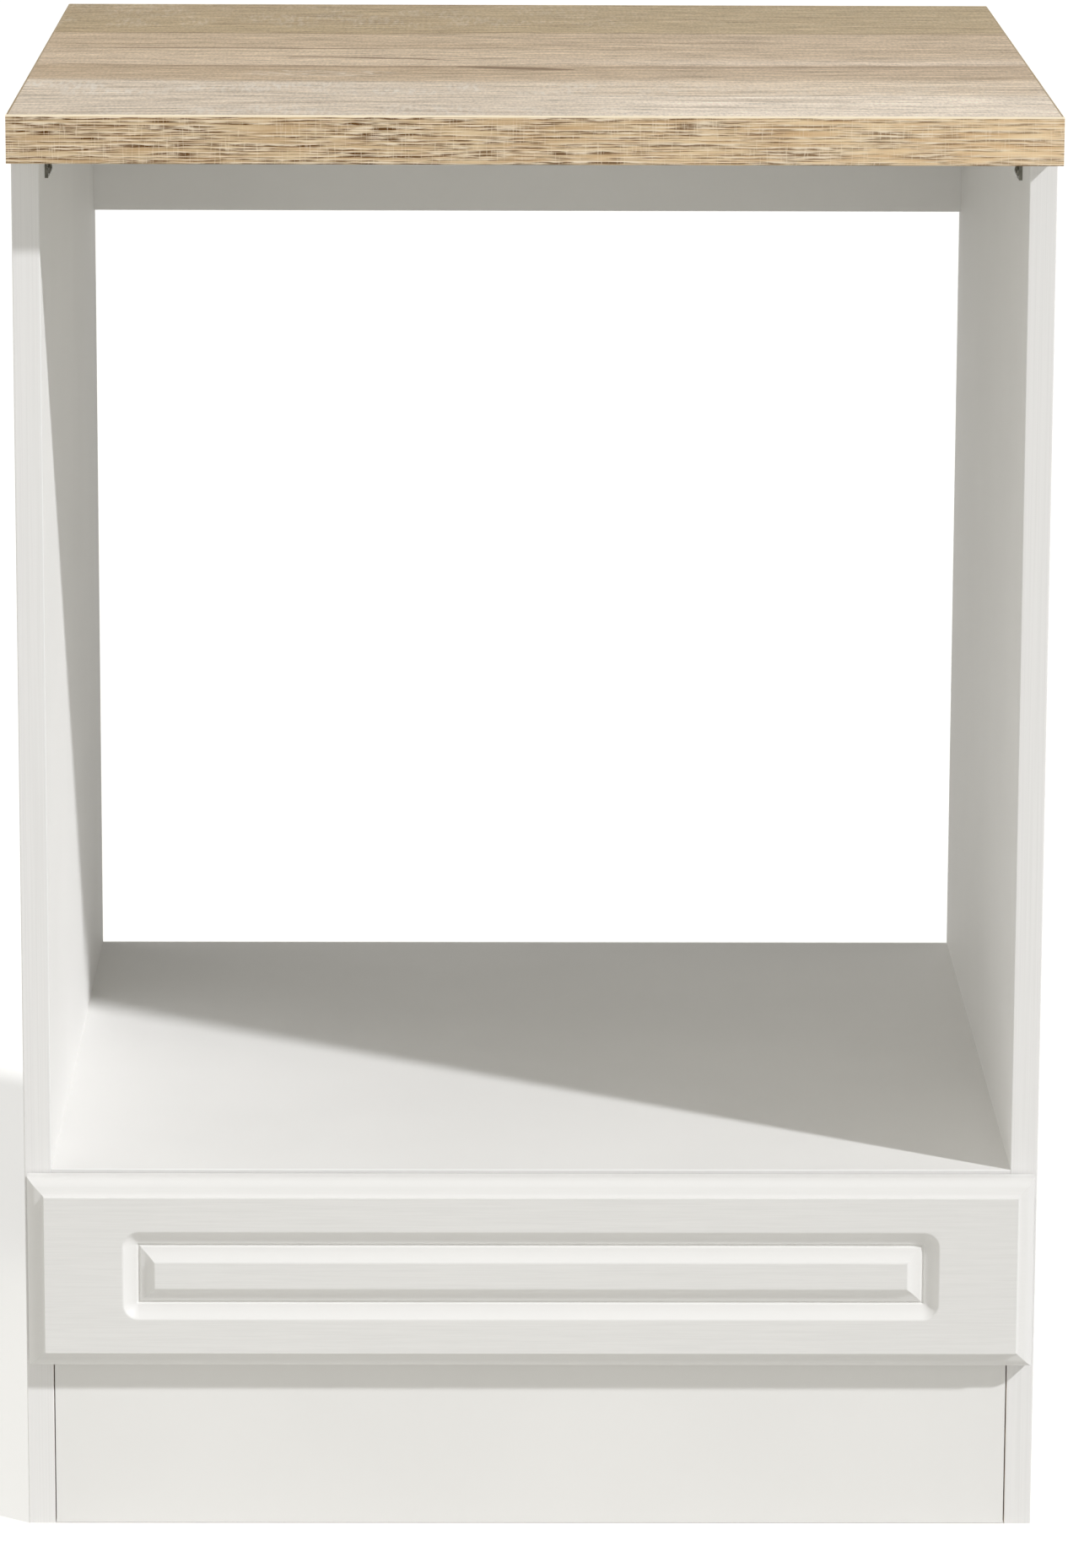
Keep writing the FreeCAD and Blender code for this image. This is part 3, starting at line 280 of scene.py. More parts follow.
def makeHardboard():
    look = hardboardSheet
    material, tree, shader = startMaterial("hardboardLacquered", look)
    place = addNode(tree, "ShaderNodeTexCoord").outputs
    spot = place["Object"]
    felt = addNode(tree, "ShaderNodeMapping", {}, {0: spot, "Scale": patternScale(*[look["feltSize"]] * 3)})
    fibre = addNode(tree, "ShaderNodeTexNoise", {}, {
        "Vector": felt, "Scale": 1, "Detail": 6, "Roughness": 0.7}).outputs[0]
    brown = addNode(tree, "ShaderNodeValToRGB", {}, {0: fibre}, list(zip((0.3, 0.7), look["fibre"])))
    screen = addNode(tree, "ShaderNodeMapping", {}, {
        0: spot, "Scale": patternScale(*[look["screenPitch"]] * 3)})
    wires = addNode(tree, "ShaderNodeTexVoronoi", {}, {"Vector": screen, "Scale": 1, "Randomness": 0.15})
    # the white side looks to the front on the back sheet and up on the drawer's bottom
    facing = addNode(tree, "ShaderNodeSeparateXYZ", {}, {0: place["Normal"]}).outputs
    forward = addNode(tree, "ShaderNodeMath", {"operation": "MULTIPLY"}, {0: facing["Y"], 1: -1})
    inward = addNode(tree, "ShaderNodeMath", {"operation": "MAXIMUM"}, {0: forward, 1: facing["Z"]})
    white = addNode(tree, "ShaderNodeMath", {"operation": "GREATER_THAN"}, {0: inward, 1: 0.5}).outputs[0]
    colour = addNode(tree, "ShaderNodeMix", {"data_type": "RGBA"}, {
        0: white, 6: brown, 7: hexToLinear(look["lacquer"])})
    height = addNode(tree, "ShaderNodeMix", {}, {0: white, 2: wires, 3: fibre})
    gloss, strength = [
        addNode(tree, "ShaderNodeMapRange", {}, {0: white, 3: look[name][0], 4: look[name][1]}).outputs[0]
        for name in ("roughness", "relief")]
    finishMaterial(tree, shader, colour.outputs[2], gloss, height.outputs[0], strength, look["reliefDepth"])
    return material


dress(makeHardboard(), "lower_back_sheet", "drawer_bottom")
print("edgings, front and sheets dressed")


# Worktop laminate with a printed sawn-oak decor: level bands of several boards, long fibres, brown streaks
# and splits, a small cathedral figure, and pale marks where a saw crossed the grain. Satin, hardly embossed.
oakDecor = {
    # where a band of the decor begins and ends (y in mm) and its colour, on the left and on the right
    "left": [(-136, "#D7C8B5"), (-122, "#C4AF94"), (-58, "#BBA589"), (-40, "#D1BDA4"), (34, "#CEBAA0"),
             (52, "#C0AB90"), (122, "#C4AF94"), (136, "#B29E7D"), (300, "#AD9A7C")],
    "right": [(-208, "#EDDFCD"), (-196, "#E0CFB9"), (-128, "#DECCB5"), (-112, "#C5B198"), (-50, "#C4AF96"),
              (-36, "#DBC9B4"), (4, "#C8B49B"), (122, "#C7B39A"), (136, "#B6A384"), (300, "#B2A081")],
    "bandTurn": (-90, 150),        # between these x, in mm, the left bands turn into the right ones
    "turnSway": 6.0,               # how much more that turn sways than the bands do
    "sway": (240.0, 110.0),        # length and width of the slow sway of bands and fibres, mm
    "swayReach": 16.0,             # how far it goes to either side, mm
    "fibre": (38.0, 3.4),          # length and width of a fibre, mm
    "fibreTone": (0.34, 1.86),     # its darkest and its brightest tone
    "fleck": (1.8, 7.0),           # fine saw marks across the grain; real ones are 0.5 mm, drawn coarser
    "fleckShare": 0.24,            # how much of the grain they make
    "streak": (210.0, 8.0),        # length and width of a brown streak, mm
    "streakStrength": 0.7,
    "streakColour": "#917A5F",
    # dark lines along the grain: from x, y to x, y, half width (mm), strength
    "lines": [
        (-300, 41, 10, 43, 3.0, 0.75), (-300, 130, 40, 132, 3.0, 0.55), (0, 129, 300, 132, 3.0, 0.5),
        (30, -204, 300, -202, 2.6, 0.5), (-290, -128, -50, -126, 2.2, 0.45), (-152, 3, -44, -18, 3.6, 0.95),
        (-46, -54, 26, -72, 11.0, 0.85), (-300, -50, -20, -54, 6.0, 0.4), (30, -56, 300, -48, 7.0, 0.45),
        (-190, -40, -40, -62, 2.4, 0.5), (-110, -104, -55, -66, 2.0, 0.45)],
    "lineColour": "#785F43",
    "lineTear": 3.0,               # how far the fibres tear a dark line, mm
    "curl": (-128, -92, 54, 22),   # centre and half sizes of the cathedral figure, mm
    "rings": {"Scale": 1.5, "Distortion": 9.0, "Detail": 3, "Detail Scale": 1.4},
    "sawMark": (3.2, 24.0),        # width along the grain and length across it, mm
    "sawPatch": (34.0, 60.0),      # the places where saw marks gather, mm
    # how strong the saw marks are, from the front edge (0) to the rear edge (1)
    "sawBands": [(0.02, 0.7), (0.06, 0.7), (0.09, 0.0), (0.15, 0.0), (0.18, 1.0), (0.25, 1.0), (0.29, 0.0),
                 (0.74, 0.0), (0.8, 0.3), (1.0, 0.2)],
    "sawColour": "#EFE6D9",
    "through": 400.0,              # the patterns' size through the board, mm: a print has hardly any depth
    "backing": ("#DEDBD2", "#E8E6DE"),
    "roughness": (0.68, 0.55),
    "relief": 0.12,
    "reliefDepth": 0.0004,
    "specular": 0.12,
}


# two rows of boards, on the left and on the right
def addBands(tree, x, sway, share):
    look = oakDecor
    rows = []
    for side in ("left", "right"):
        stops = [((y / 1000 + halfDeep) / (2 * halfDeep), colour) for y, colour in look[side]]
        rows.append(addNode(tree, "ShaderNodeValToRGB", {}, {0: share}, stops).outputs[0])
    begin, end = look["bandTurn"]
    swayed = addNode(tree, "ShaderNodeMath", {"operation": "MULTIPLY_ADD"}, {
        0: sway, 1: look["turnSway"], 2: x})
    turn = addNode(tree, "ShaderNodeMapRange", {"interpolation_type": "SMOOTHSTEP"}, {
        0: swayed, 1: begin / 1000, 2: end / 1000})
    return addNode(tree, "ShaderNodeMix", {"data_type": "RGBA"}, {
        0: turn, 6: rows[0], 7: rows[1]}).outputs[2]


# each dark line is thickest in its middle
def addDarkLines(tree, decor, x, torn):
    colour = hexToLinear(oakDecor["lineColour"])
    for x0, y0, x1, y1, half, strength in oakDecor["lines"]:
        along = addNode(tree, "ShaderNodeMapRange", {}, {0: x, 1: x0 / 1000, 2: x1 / 1000}).outputs[0]
        line = addNode(tree, "ShaderNodeMapRange", {}, {0: along, 3: y0 / 1000, 4: y1 / 1000}).outputs[0]
        off = addNode(tree, "ShaderNodeMath", {"operation": "SUBTRACT"}, {0: torn, 1: line}).outputs[0]
        away = addNode(tree, "ShaderNodeMath", {"operation": "ABSOLUTE"}, {0: off}).outputs[0]
        rest = addNode(tree, "ShaderNodeMath", {"operation": "SUBTRACT"}, {0: 1.0, 1: along}).outputs[0]
        belly = addNode(tree, "ShaderNodeMath", {"operation": "MULTIPLY"}, {0: along, 1: rest}).outputs[0]
        # the root is 0.5 in the middle; a hundredth of a millimetre keeps the ends from dividing by zero
        root = addNode(tree, "ShaderNodeMath", {"operation": "POWER"}, {0: belly, 1: 0.5}).outputs[0]
        width = addNode(tree, "ShaderNodeMath", {"operation": "MULTIPLY_ADD"}, {
            0: root, 1: 2 * half / 1000, 2: 0.00001}).outputs[0]
        near = addNode(tree, "ShaderNodeMath", {"operation": "DIVIDE"}, {0: away, 1: width}).outputs[0]
        dark = addNode(tree, "ShaderNodeMapRange", {"interpolation_type": "SMOOTHSTEP"}, {
            0: near, 1: 1.0, 2: 0.2, 3: 0.0, 4: strength}).outputs[0]
        decor = addNode(tree, "ShaderNodeMix", {"data_type": "RGBA"}, {
            0: dark, 6: decor, 7: colour}).outputs[2]
    return decor


# cathedral figure: pale rings in a small oval
def addFigure(tree, decor, spot):
    look = oakDecor
    curlX, curlY, halfX, halfY = [v / 1000 for v in look["curl"]]
    oval = addNode(tree, "ShaderNodeMapping", {"vector_type": "TEXTURE"}, {
        0: spot, "Location": (curlX, curlY, topHeight), "Scale": (halfX, halfY, 1.0)}).outputs[0]
    reach = addNode(tree, "ShaderNodeVectorMath", {"operation": "LENGTH"}, {0: oval}).outputs["Value"]
    inside = addNode(tree, "ShaderNodeMapRange", {"interpolation_type": "SMOOTHSTEP"}, {
        0: reach, 1: 1.0, 2: 0.55})
    waves = addNode(tree, "ShaderNodeTexWave", {"wave_type": "BANDS", "bands_direction": "DIAGONAL"}, {
        "Vector": oval, **look["rings"]})
    rings = addNode(tree, "ShaderNodeMapRange", {}, {0: waves.outputs["Fac"], 1: 0.6, 2: 1.0, 3: 0.0, 4: 0.5})
    figure = addNode(tree, "ShaderNodeMath", {"operation": "MULTIPLY"}, {0: inside, 1: rings})
    return addNode(tree, "ShaderNodeMix", {"data_type": "RGBA"}, {
        0: figure, 6: decor, 7: hexToLinear(look["sawColour"])}).outputs[2]


# saw marks gather in patches, mostly on the left, and the grain breaks them
def addSawMarks(tree, decor, spot, x, share, grain):
    look = oakDecor
    noises = []
    for (wide, long), detail in ((look["sawMark"], 3), (look["sawPatch"], 1)):
        cross = addNode(tree, "ShaderNodeMapping", {}, {
            0: spot, "Scale": patternScale(wide, long, look["through"])})
        noises.append(addNode(tree, "ShaderNodeTexNoise", {}, {
            "Vector": cross, "Scale": 1, "Detail": detail}).outputs[0])
    sawn = addNode(tree, "ShaderNodeValToRGB", {}, {0: share}, look["sawBands"]).outputs[0]
    for source, low, high, atLow, atHigh in (
            (noises[0], 0.42, 0.62, 0.0, 0.9), (noises[1], 0.42, 0.56, 0.0, 1.0),
            (x, -0.02, 0.1, 1.0, 0.3), (grain, 0.38, 0.58, 0.15, 1.0)):
        part = addNode(tree, "ShaderNodeMapRange", {}, {0: source, 1: low, 2: high, 3: atLow, 4: atHigh})
        sawn = addNode(tree, "ShaderNodeMath", {"operation": "MULTIPLY"}, {0: sawn, 1: part}).outputs[0]
    return addNode(tree, "ShaderNodeMix", {"data_type": "RGBA"}, {
        0: sawn, 6: decor, 7: hexToLinear(look["sawColour"])}).outputs[2]


def makeOakDecor():
    look = oakDecor
    through = look["through"]
    material, tree, shader = startMaterial("oakDecorLaminatePressed", look)
    place = addNode(tree, "ShaderNodeTexCoord").outputs
    spot = place["Object"]
    axes = addNode(tree, "ShaderNodeSeparateXYZ", {}, {0: spot}).outputs
    # bands and fibres sway a few millimetres along the grain
    slow = addNode(tree, "ShaderNodeMapping", {}, {0: spot, "Scale": patternScale(*look["sway"], through)})
    drift = addNode(tree, "ShaderNodeTexNoise", {}, {"Vector": slow, "Scale": 1, "Detail": 3}).outputs[0]
    reach = look["swayReach"] / 1000
    sway = addNode(tree, "ShaderNodeMapRange", {}, {0: drift, 3: -reach, 4: reach}).outputs[0]
    bent = addNode(tree, "ShaderNodeMath", {"operation": "ADD"}, {0: axes["Y"], 1: sway}).outputs[0]
    flow = addNode(tree, "ShaderNodeCombineXYZ", {}, {"X": axes["X"], "Y": bent, "Z": axes["Z"]}).outputs[0]
    share = addNode(tree, "ShaderNodeMapRange", {}, {0: bent, 1: -halfDeep, 2: halfDeep}).outputs[0]
    bands = addBands(tree, axes["X"], sway, share)
    noises = []
    for name, detail, roughness in (("streak", 5, 0.65), ("fibre", 6, 0.72)):
        drawn = addNode(tree, "ShaderNodeMapping", {}, {0: flow, "Scale": patternScale(*look[name], through)})
        noises.append(addNode(tree, "ShaderNodeTexNoise", {}, {
            "Vector": drawn, "Scale": 1, "Detail": detail, "Roughness": roughness}).outputs[0])
    streaking, fibre = noises
    streaks = addNode(tree, "ShaderNodeMapRange", {}, {
        0: streaking, 1: 0.49, 2: 0.74, 3: 0.0, 4: look["streakStrength"]})
    streaked = addNode(tree, "ShaderNodeMix", {"data_type": "RGBA"}, {
        0: streaks, 6: bands, 7: hexToLinear(look["streakColour"])})
    small = addNode(tree, "ShaderNodeMapping", {}, {0: spot, "Scale": patternScale(*look["fleck"], through)})
    fleck = addNode(tree, "ShaderNodeTexNoise", {}, {"Vector": small, "Scale": 1, "Detail": 2})
    grain = addNode(tree, "ShaderNodeMix", {}, {0: look["fleckShare"], 2: fibre, 3: fleck}).outputs[0]
    dim, bright = look["fibreTone"]
    fibres = addNode(tree, "ShaderNodeMapRange", {}, {0: grain, 1: 0.25, 2: 0.75, 3: dim, 4: bright})
    decor = addNode(tree, "ShaderNodeMix", {"data_type": "RGBA", "blend_type": "MULTIPLY"}, {
        0: 1.0, 6: streaked.outputs[2], 7: fibres}).outputs[2]
    tear = look["lineTear"] / 1000
    ragged = addNode(tree, "ShaderNodeMapRange", {}, {0: fibre, 1: 0.25, 2: 0.75, 3: -tear, 4: tear})
    torn = addNode(tree, "ShaderNodeMath", {"operation": "ADD"}, {0: bent, 1: ragged}).outputs[0]
    decor = addDarkLines(tree, decor, axes["X"], torn)
    decor = addFigure(tree, decor, spot)
    decor = addSawMarks(tree, decor, spot, axes["X"], share, grain)
    # the underside has a plain backing paper, the rear edge shows the pressed chips
    chips = addChips(tree, spot, "Z")[1]
    paper = addNode(tree, "ShaderNodeValToRGB", {}, {0: drift}, list(zip((0.3, 0.7), look["backing"])))
    facing = addNode(tree, "ShaderNodeSeparateXYZ", {}, {0: place["Normal"]}).outputs["Z"]
    isTop = addNode(tree, "ShaderNodeMath", {"operation": "GREATER_THAN"}, {0: facing, 1: 0.5})
    isUnder = addNode(tree, "ShaderNodeMath", {"operation": "LESS_THAN"}, {0: facing, 1: -0.5})
    body = addNode(tree, "ShaderNodeMix", {"data_type": "RGBA"}, {0: isUnder, 6: chips, 7: paper})
    colour = addNode(tree, "ShaderNodeMix", {"data_type": "RGBA"}, {
        0: isTop, 6: body.outputs[2], 7: decor})
    finishByPattern(tree, shader, look, colour.outputs[2], fibre)
    return material


dress(makeOakDecor(), "worktop_board")


# Oak-look ABS edging, printed and embossed like rough-sawn oak: short dark pores along the edge, pale
# fibres between them and thin pale saw lines across. A thin band at the top arris is painted light:
# a highlight on the front edge and shade on the side edges.
oakEdge = {
    "base": ("#DEB98B", "#FFE4BA"),
    "tone": (46.0, 3.2),           # length and height of a lighter or darker stretch of the base, mm
    "paintedLightRamp": (0.75, 0.84, 1.0),     # the front edge's print is palest at its right end: left, middle, right
    "pore": (60.0, 0.95),          # painted light falling off to the left of the edging: left, middle, right
    "poreBreak": (14.0, 1.1),      # length and height of the places where pores break off, mm
    "poreColour": "#5E3A0A",
    "poreFade": 0.62,              # how much of the pores is left at the right end of the front edge
    "paleAbove": 0.6,              # each pore has a pale fibre this far above it, mm
    "paleColour": "#FFEED4",
    # noise at which a fibre or pore begins and is full, and how much of it stays in a break and beside it
    "pale": {"noise": (0.485, 0.54), "stays": (1.0, 0.35)},
    "dark": {"noise": (0.478, 0.535), "stays": (0.15, 1.0)},
    "sawLine": (1.0, 11.0),        # width and height of a saw line, mm; real ones are 0.5 mm, drawn coarser
    "sawStart": (7, 0, 3),         # another place in the noise than the pores'
    "sawStrength": 0.42,
    "arris": 0.0011,               # height of the scraped arris and of its soft border, metres
    "arrisBorder": 0.0002,
    # painted highlight on the front edge's arris and painted shade on the side edges' arris
    "paintedArrisLight": {"front": "#FFF0D4", "side": "#A8926F"},
    "roughness": (0.5, 0.7),
    "relief": 0.3,
    "reliefDepth": 0.0003,
    "specular": 0.25,
}


# pale fibres take over where the pores break off
def addEdgeFibres(tree, sheet):
    look = oakEdge
    long, high = look["poreBreak"]
    broken = addNode(tree, "ShaderNodeMapping", {}, {0: sheet, "Scale": patternScale(long, long, high)})
    breaks = addNode(tree, "ShaderNodeTexNoise", {}, {"Vector": broken, "Scale": 1, "Detail": 3})
    long, high = look["pore"]
    lines = []
    marks = []
    for kind, lift in (("pale", look["paleAbove"]), ("dark", 0)):
        drawn = addNode(tree, "ShaderNodeMapping", {}, {
            0: sheet, "Location": (0, 0, -lift / high), "Scale": patternScale(long, long, high)})
        line = addNode(tree, "ShaderNodeTexNoise", {}, {
            "Vector": drawn, "Scale": 1, "Detail": 4, "Roughness": 0.62}).outputs[0]
        begin, full = look[kind]["noise"]
        row = addNode(tree, "ShaderNodeMapRange", {}, {0: line, 1: begin, 2: full})
        within, beside = look[kind]["stays"]
        stays = addNode(tree, "ShaderNodeMapRange", {}, {
            0: breaks, 1: 0.41, 2: 0.57, 3: within, 4: beside})
        mark = addNode(tree, "ShaderNodeMath", {"operation": "MULTIPLY"}, {0: row, 1: stays})
        lines.append(line)
        marks.append(mark.outputs[0])
    return lines[0], *marks


def makeOakEdge(name, end):
    look = oakEdge
    material, tree, shader = startMaterial(name, look)
    spot = addNode(tree, "ShaderNodeTexCoord").outputs["Object"]
    axes = addNode(tree, "ShaderNodeSeparateXYZ", {}, {0: spot}).outputs
    # way runs along the front edge and along both side edges
    way = addNode(tree, "ShaderNodeMath", {"operation": "ADD"}, {0: axes["X"], 1: axes["Y"]})
    sheet = addNode(tree, "ShaderNodeCombineXYZ", {}, {"X": way, "Z": axes["Z"]}).outputs[0]
    long, high = look["tone"]
    broad = addNode(tree, "ShaderNodeMapping", {}, {0: sheet, "Scale": patternScale(long, long, high)})
    tone = addNode(tree, "ShaderNodeTexNoise", {}, {"Vector": broad, "Scale": 1, "Detail": 5})
    base = addNode(tree, "ShaderNodeValToRGB", {}, {0: tone},
                   list(zip((0.32, 0.66), look["base"])))
    along = addNode(tree, "ShaderNodeMapRange", {}, {0: axes["X"], 1: -halfWide, 2: halfWide}).outputs[0]
    # painted light: the edging's colour is multiplied down from its right end towards its left
    paintedLightRamp = addNode(tree, "ShaderNodeValToRGB", {}, {0: along}, list(zip((0.0, 0.5, 1.0), look["paintedLightRamp"])))
    ground = addNode(tree, "ShaderNodeMix", {"data_type": "RGBA", "blend_type": "MULTIPLY"}, {
        0: 1.0, 6: base, 7: paintedLightRamp})
    fibre, pales, rows = addEdgeFibres(tree, sheet)
    fainter = addNode(tree, "ShaderNodeMapRange", {}, {0: along, 1: 0.3, 3: 1.0, 4: look["poreFade"]})
    pores = addNode(tree, "ShaderNodeMath", {"operation": "MULTIPLY"}, {0: rows, 1: fainter}).outputs[0]
    wide, high = look["sawLine"]
    across = addNode(tree, "ShaderNodeMapping", {}, {
        0: sheet, "Location": look["sawStart"], "Scale": patternScale(wide, wide, high)})
    saw = addNode(tree, "ShaderNodeTexNoise", {}, {"Vector": across, "Scale": 1, "Detail": 2})
    ridge = addNode(tree, "ShaderNodeMapRange", {}, {
        0: saw, 1: 0.56, 2: 0.66, 3: 0.0, 4: look["sawStrength"]})
    # the saw line breaks wherever a fibre lies deep
    raised = addNode(tree, "ShaderNodeMapRange", {}, {0: fibre, 1: 0.38, 2: 0.55, 3: 0.3, 4: 1.0})
    sawn = addNode(tree, "ShaderNodeMath", {"operation": "MULTIPLY"}, {0: ridge, 1: raised}).outputs[0]
    # a thin band at the arris is painted: a highlight on the front edge, shade on the side edges
    top = topHeight - look["arris"]
    border = look["arrisBorder"]
    arris = addNode(tree, "ShaderNodeMapRange", {}, {
        0: axes["Z"], 1: top - border, 2: top + border}).outputs[0]
    colour = ground.outputs[2]
    for amount, coat in ((pales, look["paleColour"]), (pores, look["poreColour"]), (sawn, look["paleColour"]),
                         (arris, look["paintedArrisLight"][end])):
        colour = addNode(tree, "ShaderNodeMix", {"data_type": "RGBA"}, {
            0: amount, 6: colour, 7: hexToLinear(coat)}).outputs[2]
    gloss = addNode(tree, "ShaderNodeMapRange", {}, {
        0: pores, 3: look["roughness"][0], 4: look["roughness"][1]})
    height = addNode(tree, "ShaderNodeMath", {"operation": "SUBTRACT"}, {0: sawn, 1: pores})
    finishMaterial(tree, shader, colour, gloss.outputs[0], height.outputs[0], look["relief"],
                   look["reliefDepth"])
    return material


# the front and side copies differ in the painted band at the arris: highlight on the front, shade on the
# sides
dress(makeOakEdge("oakEdgingEmbossedFront", "front"), "worktop_front_edging")
dress(makeOakEdge("oakEdgingEmbossedSide", "side"), "worktop_left_edging", "worktop_right_edging")
print("worktop dressed")


# Metals, plastics and dowels: each is a base colour broken up by one fine pattern that also drives the
# gloss and a slight relief. Sizes of the patterns in mm.
fittings = {
    # zinc-plated steel, passivated, shiny, with cloudy plating; its dark colour is partly painted shade for
    # the dark niche it reflects
    "zincPlatedSteel": {"colours": ("#605E56", "#86847A"), "metallic": 1.0, "roughness": (0.16, 0.3),
                        "size": (3, 3, 3), "relief": 0.05},
    # die-cast zinc: paler and duller, with a grainy casting skin
    "zincDieCast": {"colours": ("#8D8D8C", "#B3B3B1"), "metallic": 1.0, "roughness": (0.35, 0.55),
                    "size": (1.2, 1.2, 1.2), "relief": 0.15},
    # powder-coated steel: soft gloss and orange peel, drawn at 2 mm because the real 0.6 mm would not show
    "powderCoatedSteel": {"colours": ("#E6E6E2", "#EFEFEC"), "metallic": 0.0, "roughness": (0.3, 0.42),
                          "size": (2, 2, 2), "relief": 0.12},
    # moulded nylon: milky, with flow marks
    "nylonMoulded": {"colours": ("#E2E0D6", "#EEEDE6"), "metallic": 0.0, "roughness": (0.38, 0.5),
                     "size": (6, 2, 2), "relief": 0.06},
    # beech dowels, turned: pinkish brown with short flecks along the dowel
    "beechTurned": {"colours": ("#B98D62", "#D9B58B"), "metallic": 0.0, "roughness": (0.6, 0.75),
                    "size": (9, 1.2, 1.2), "relief": 0.2},
    # cast soft plastic: pale bumpers with a waxy gloss
    "softPlasticCast": {"colours": ("#D9DAD6", "#E9EAE7"), "metallic": 0.0, "roughness": (0.2, 0.3),
                        "size": (2, 2, 2), "relief": 0.04},
}
fittingReliefDepth = 0.0003   # metres, for all of them


def makeFitting(name):
    look = {**fittings[name], "reliefDepth": fittingReliefDepth}
    material, tree, shader = startMaterial(name, look)
    spot = addNode(tree, "ShaderNodeTexCoord").outputs["Object"]
    scaled = addNode(tree, "ShaderNodeMapping", {}, {0: spot, "Scale": patternScale(*look["size"])})
    cloud = addNode(tree, "ShaderNodeTexNoise", {}, {
        "Vector": scaled, "Scale": 1, "Detail": 4}).outputs[0]
    colour = addNode(tree, "ShaderNodeValToRGB", {}, {0: cloud}, list(zip((0.3, 0.7), look["colours"])))
    finishByPattern(tree, shader, look, colour.outputs[0], cloud)
    return material


zincSteel = makeFitting("zincPlatedSteel")
dress(zincSteel, "worktop_bracket_front_left", "worktop_bracket_front_right", "worktop_bracket_rear_left",
      "worktop_bracket_rear_right", "plinth_bracket_left", "plinth_bracket_right", "bracket_screws",
      "back_sheet_screws", "cabinet_runner_screws", "drawer_runner_screws", "drawer_back_screws",
      "drawer_bottom_screws", "cam_bolts", "drawer_cam_bolts", "front_roller_axles", "rear_roller_axles")
dress(makeFitting("zincDieCast"), "cam_locks", "drawer_cam_locks")
dress(makeFitting("powderCoatedSteel"), "cabinet_runner_left", "cabinet_runner_right", "drawer_runner_left",
      "drawer_runner_right")
dress(makeFitting("nylonMoulded"), "front_roller_left", "front_roller_right", "rear_roller_left",
      "rear_roller_right")
dress(makeFitting("beechTurned"), "wooden_dowels", "drawer_dowels")
dress(makeFitting("softPlasticCast"), "front_bumpers")
print("fittings dressed")


# Screws with a cross recess, one Geometry Nodes tree for all sorts. Sizes in metres, seats in millimetres,
# and aim, beside each seat, is the way the head looks.
screwSorts = {
    "pan": {"headDiameter": 0.007, "headHeight": 0.002, "crown": 0.0012, "shankDiameter": 0.0035,
            "shankLength": 0.013, "recessDepth": 0.0014},
    "flat": {"headDiameter": 0.0062, "headHeight": 0.0012, "crown": 0.0002, "shankDiameter": 0.0032,
             "shankLength": 0.010, "recessDepth": 0.0009},
}
screwShape = {
    "rimPoints": 40,
    "headRings": 7,
    "crownPower": 2.6,             # how late the head's top falls away towards the rim
    "wing": (0.56, 0.15),          # length and width of a recess wing, as shares of the head's diameter
    "wingFoot": (0.5, 0.6, 1.0),   # how much of a wing is left at its foot
    "shankPoints": 20,
    "tipLength": 0.002,
    "softAngle": 35,               # edges flatter than this, in degrees, are shaded smooth
    "firstSeed": 3,
}
screwSets = {
    "bracketScrewSet": {"sort": "pan", "body": "carcass", "replaces": "bracket_screws", "seats": [
        *[((269 * s, y, 820), (0, 0, -1)) for s in (-1, 1) for y in (-200, 190)],
        *[((282 * s, y, 807), (-s, 0, 0)) for s in (-1, 1) for y in (-200, 190)],
        *[((269 * s, -242, 50), (0, 1, 0)) for s in (-1, 1)],
        *[((282 * s, -229, 50), (-s, 0, 0)) for s in (-1, 1)]]},
    "backSheetScrewSet": {"sort": "flat", "body": "carcass", "replaces": "back_sheet_screws", "seats": [
        ((x, 298.8, z), (0, 1, 0)) for x in (-224, 0, 224) for z in (108, 212)]},
    "cabinetRunnerScrewSet": {
        "sort": "flat", "body": "carcass", "replaces": "cabinet_runner_screws", "seats": [
            ((284 * s, y, 134), (-s, 0, 0)) for s in (-1, 1) for y in (-218, 202)]},
    "drawerRunnerScrewSet": {"sort": "flat", "body": "drawer", "replaces": "drawer_runner_screws", "seats": [
        ((271.3 * s, y, 134), (s, 0, 0)) for s in (-1, 1) for y in (-220, 198)]},
    "drawerBackScrewSet": {"sort": "flat", "body": "drawer", "replaces": "drawer_back_screws", "seats": [
        ((270.1 * s, 232, z), (s, 0, 0)) for s in (-1, 1) for z in (160, 186)]},
    "drawerBottomScrewSet": {"sort": "pan", "body": "drawer", "replaces": "drawer_bottom_screws", "seats": [
        ((x, 232, 140), (0, 0, -1)) for x in (-199.3, 0, 199.3)]},
}


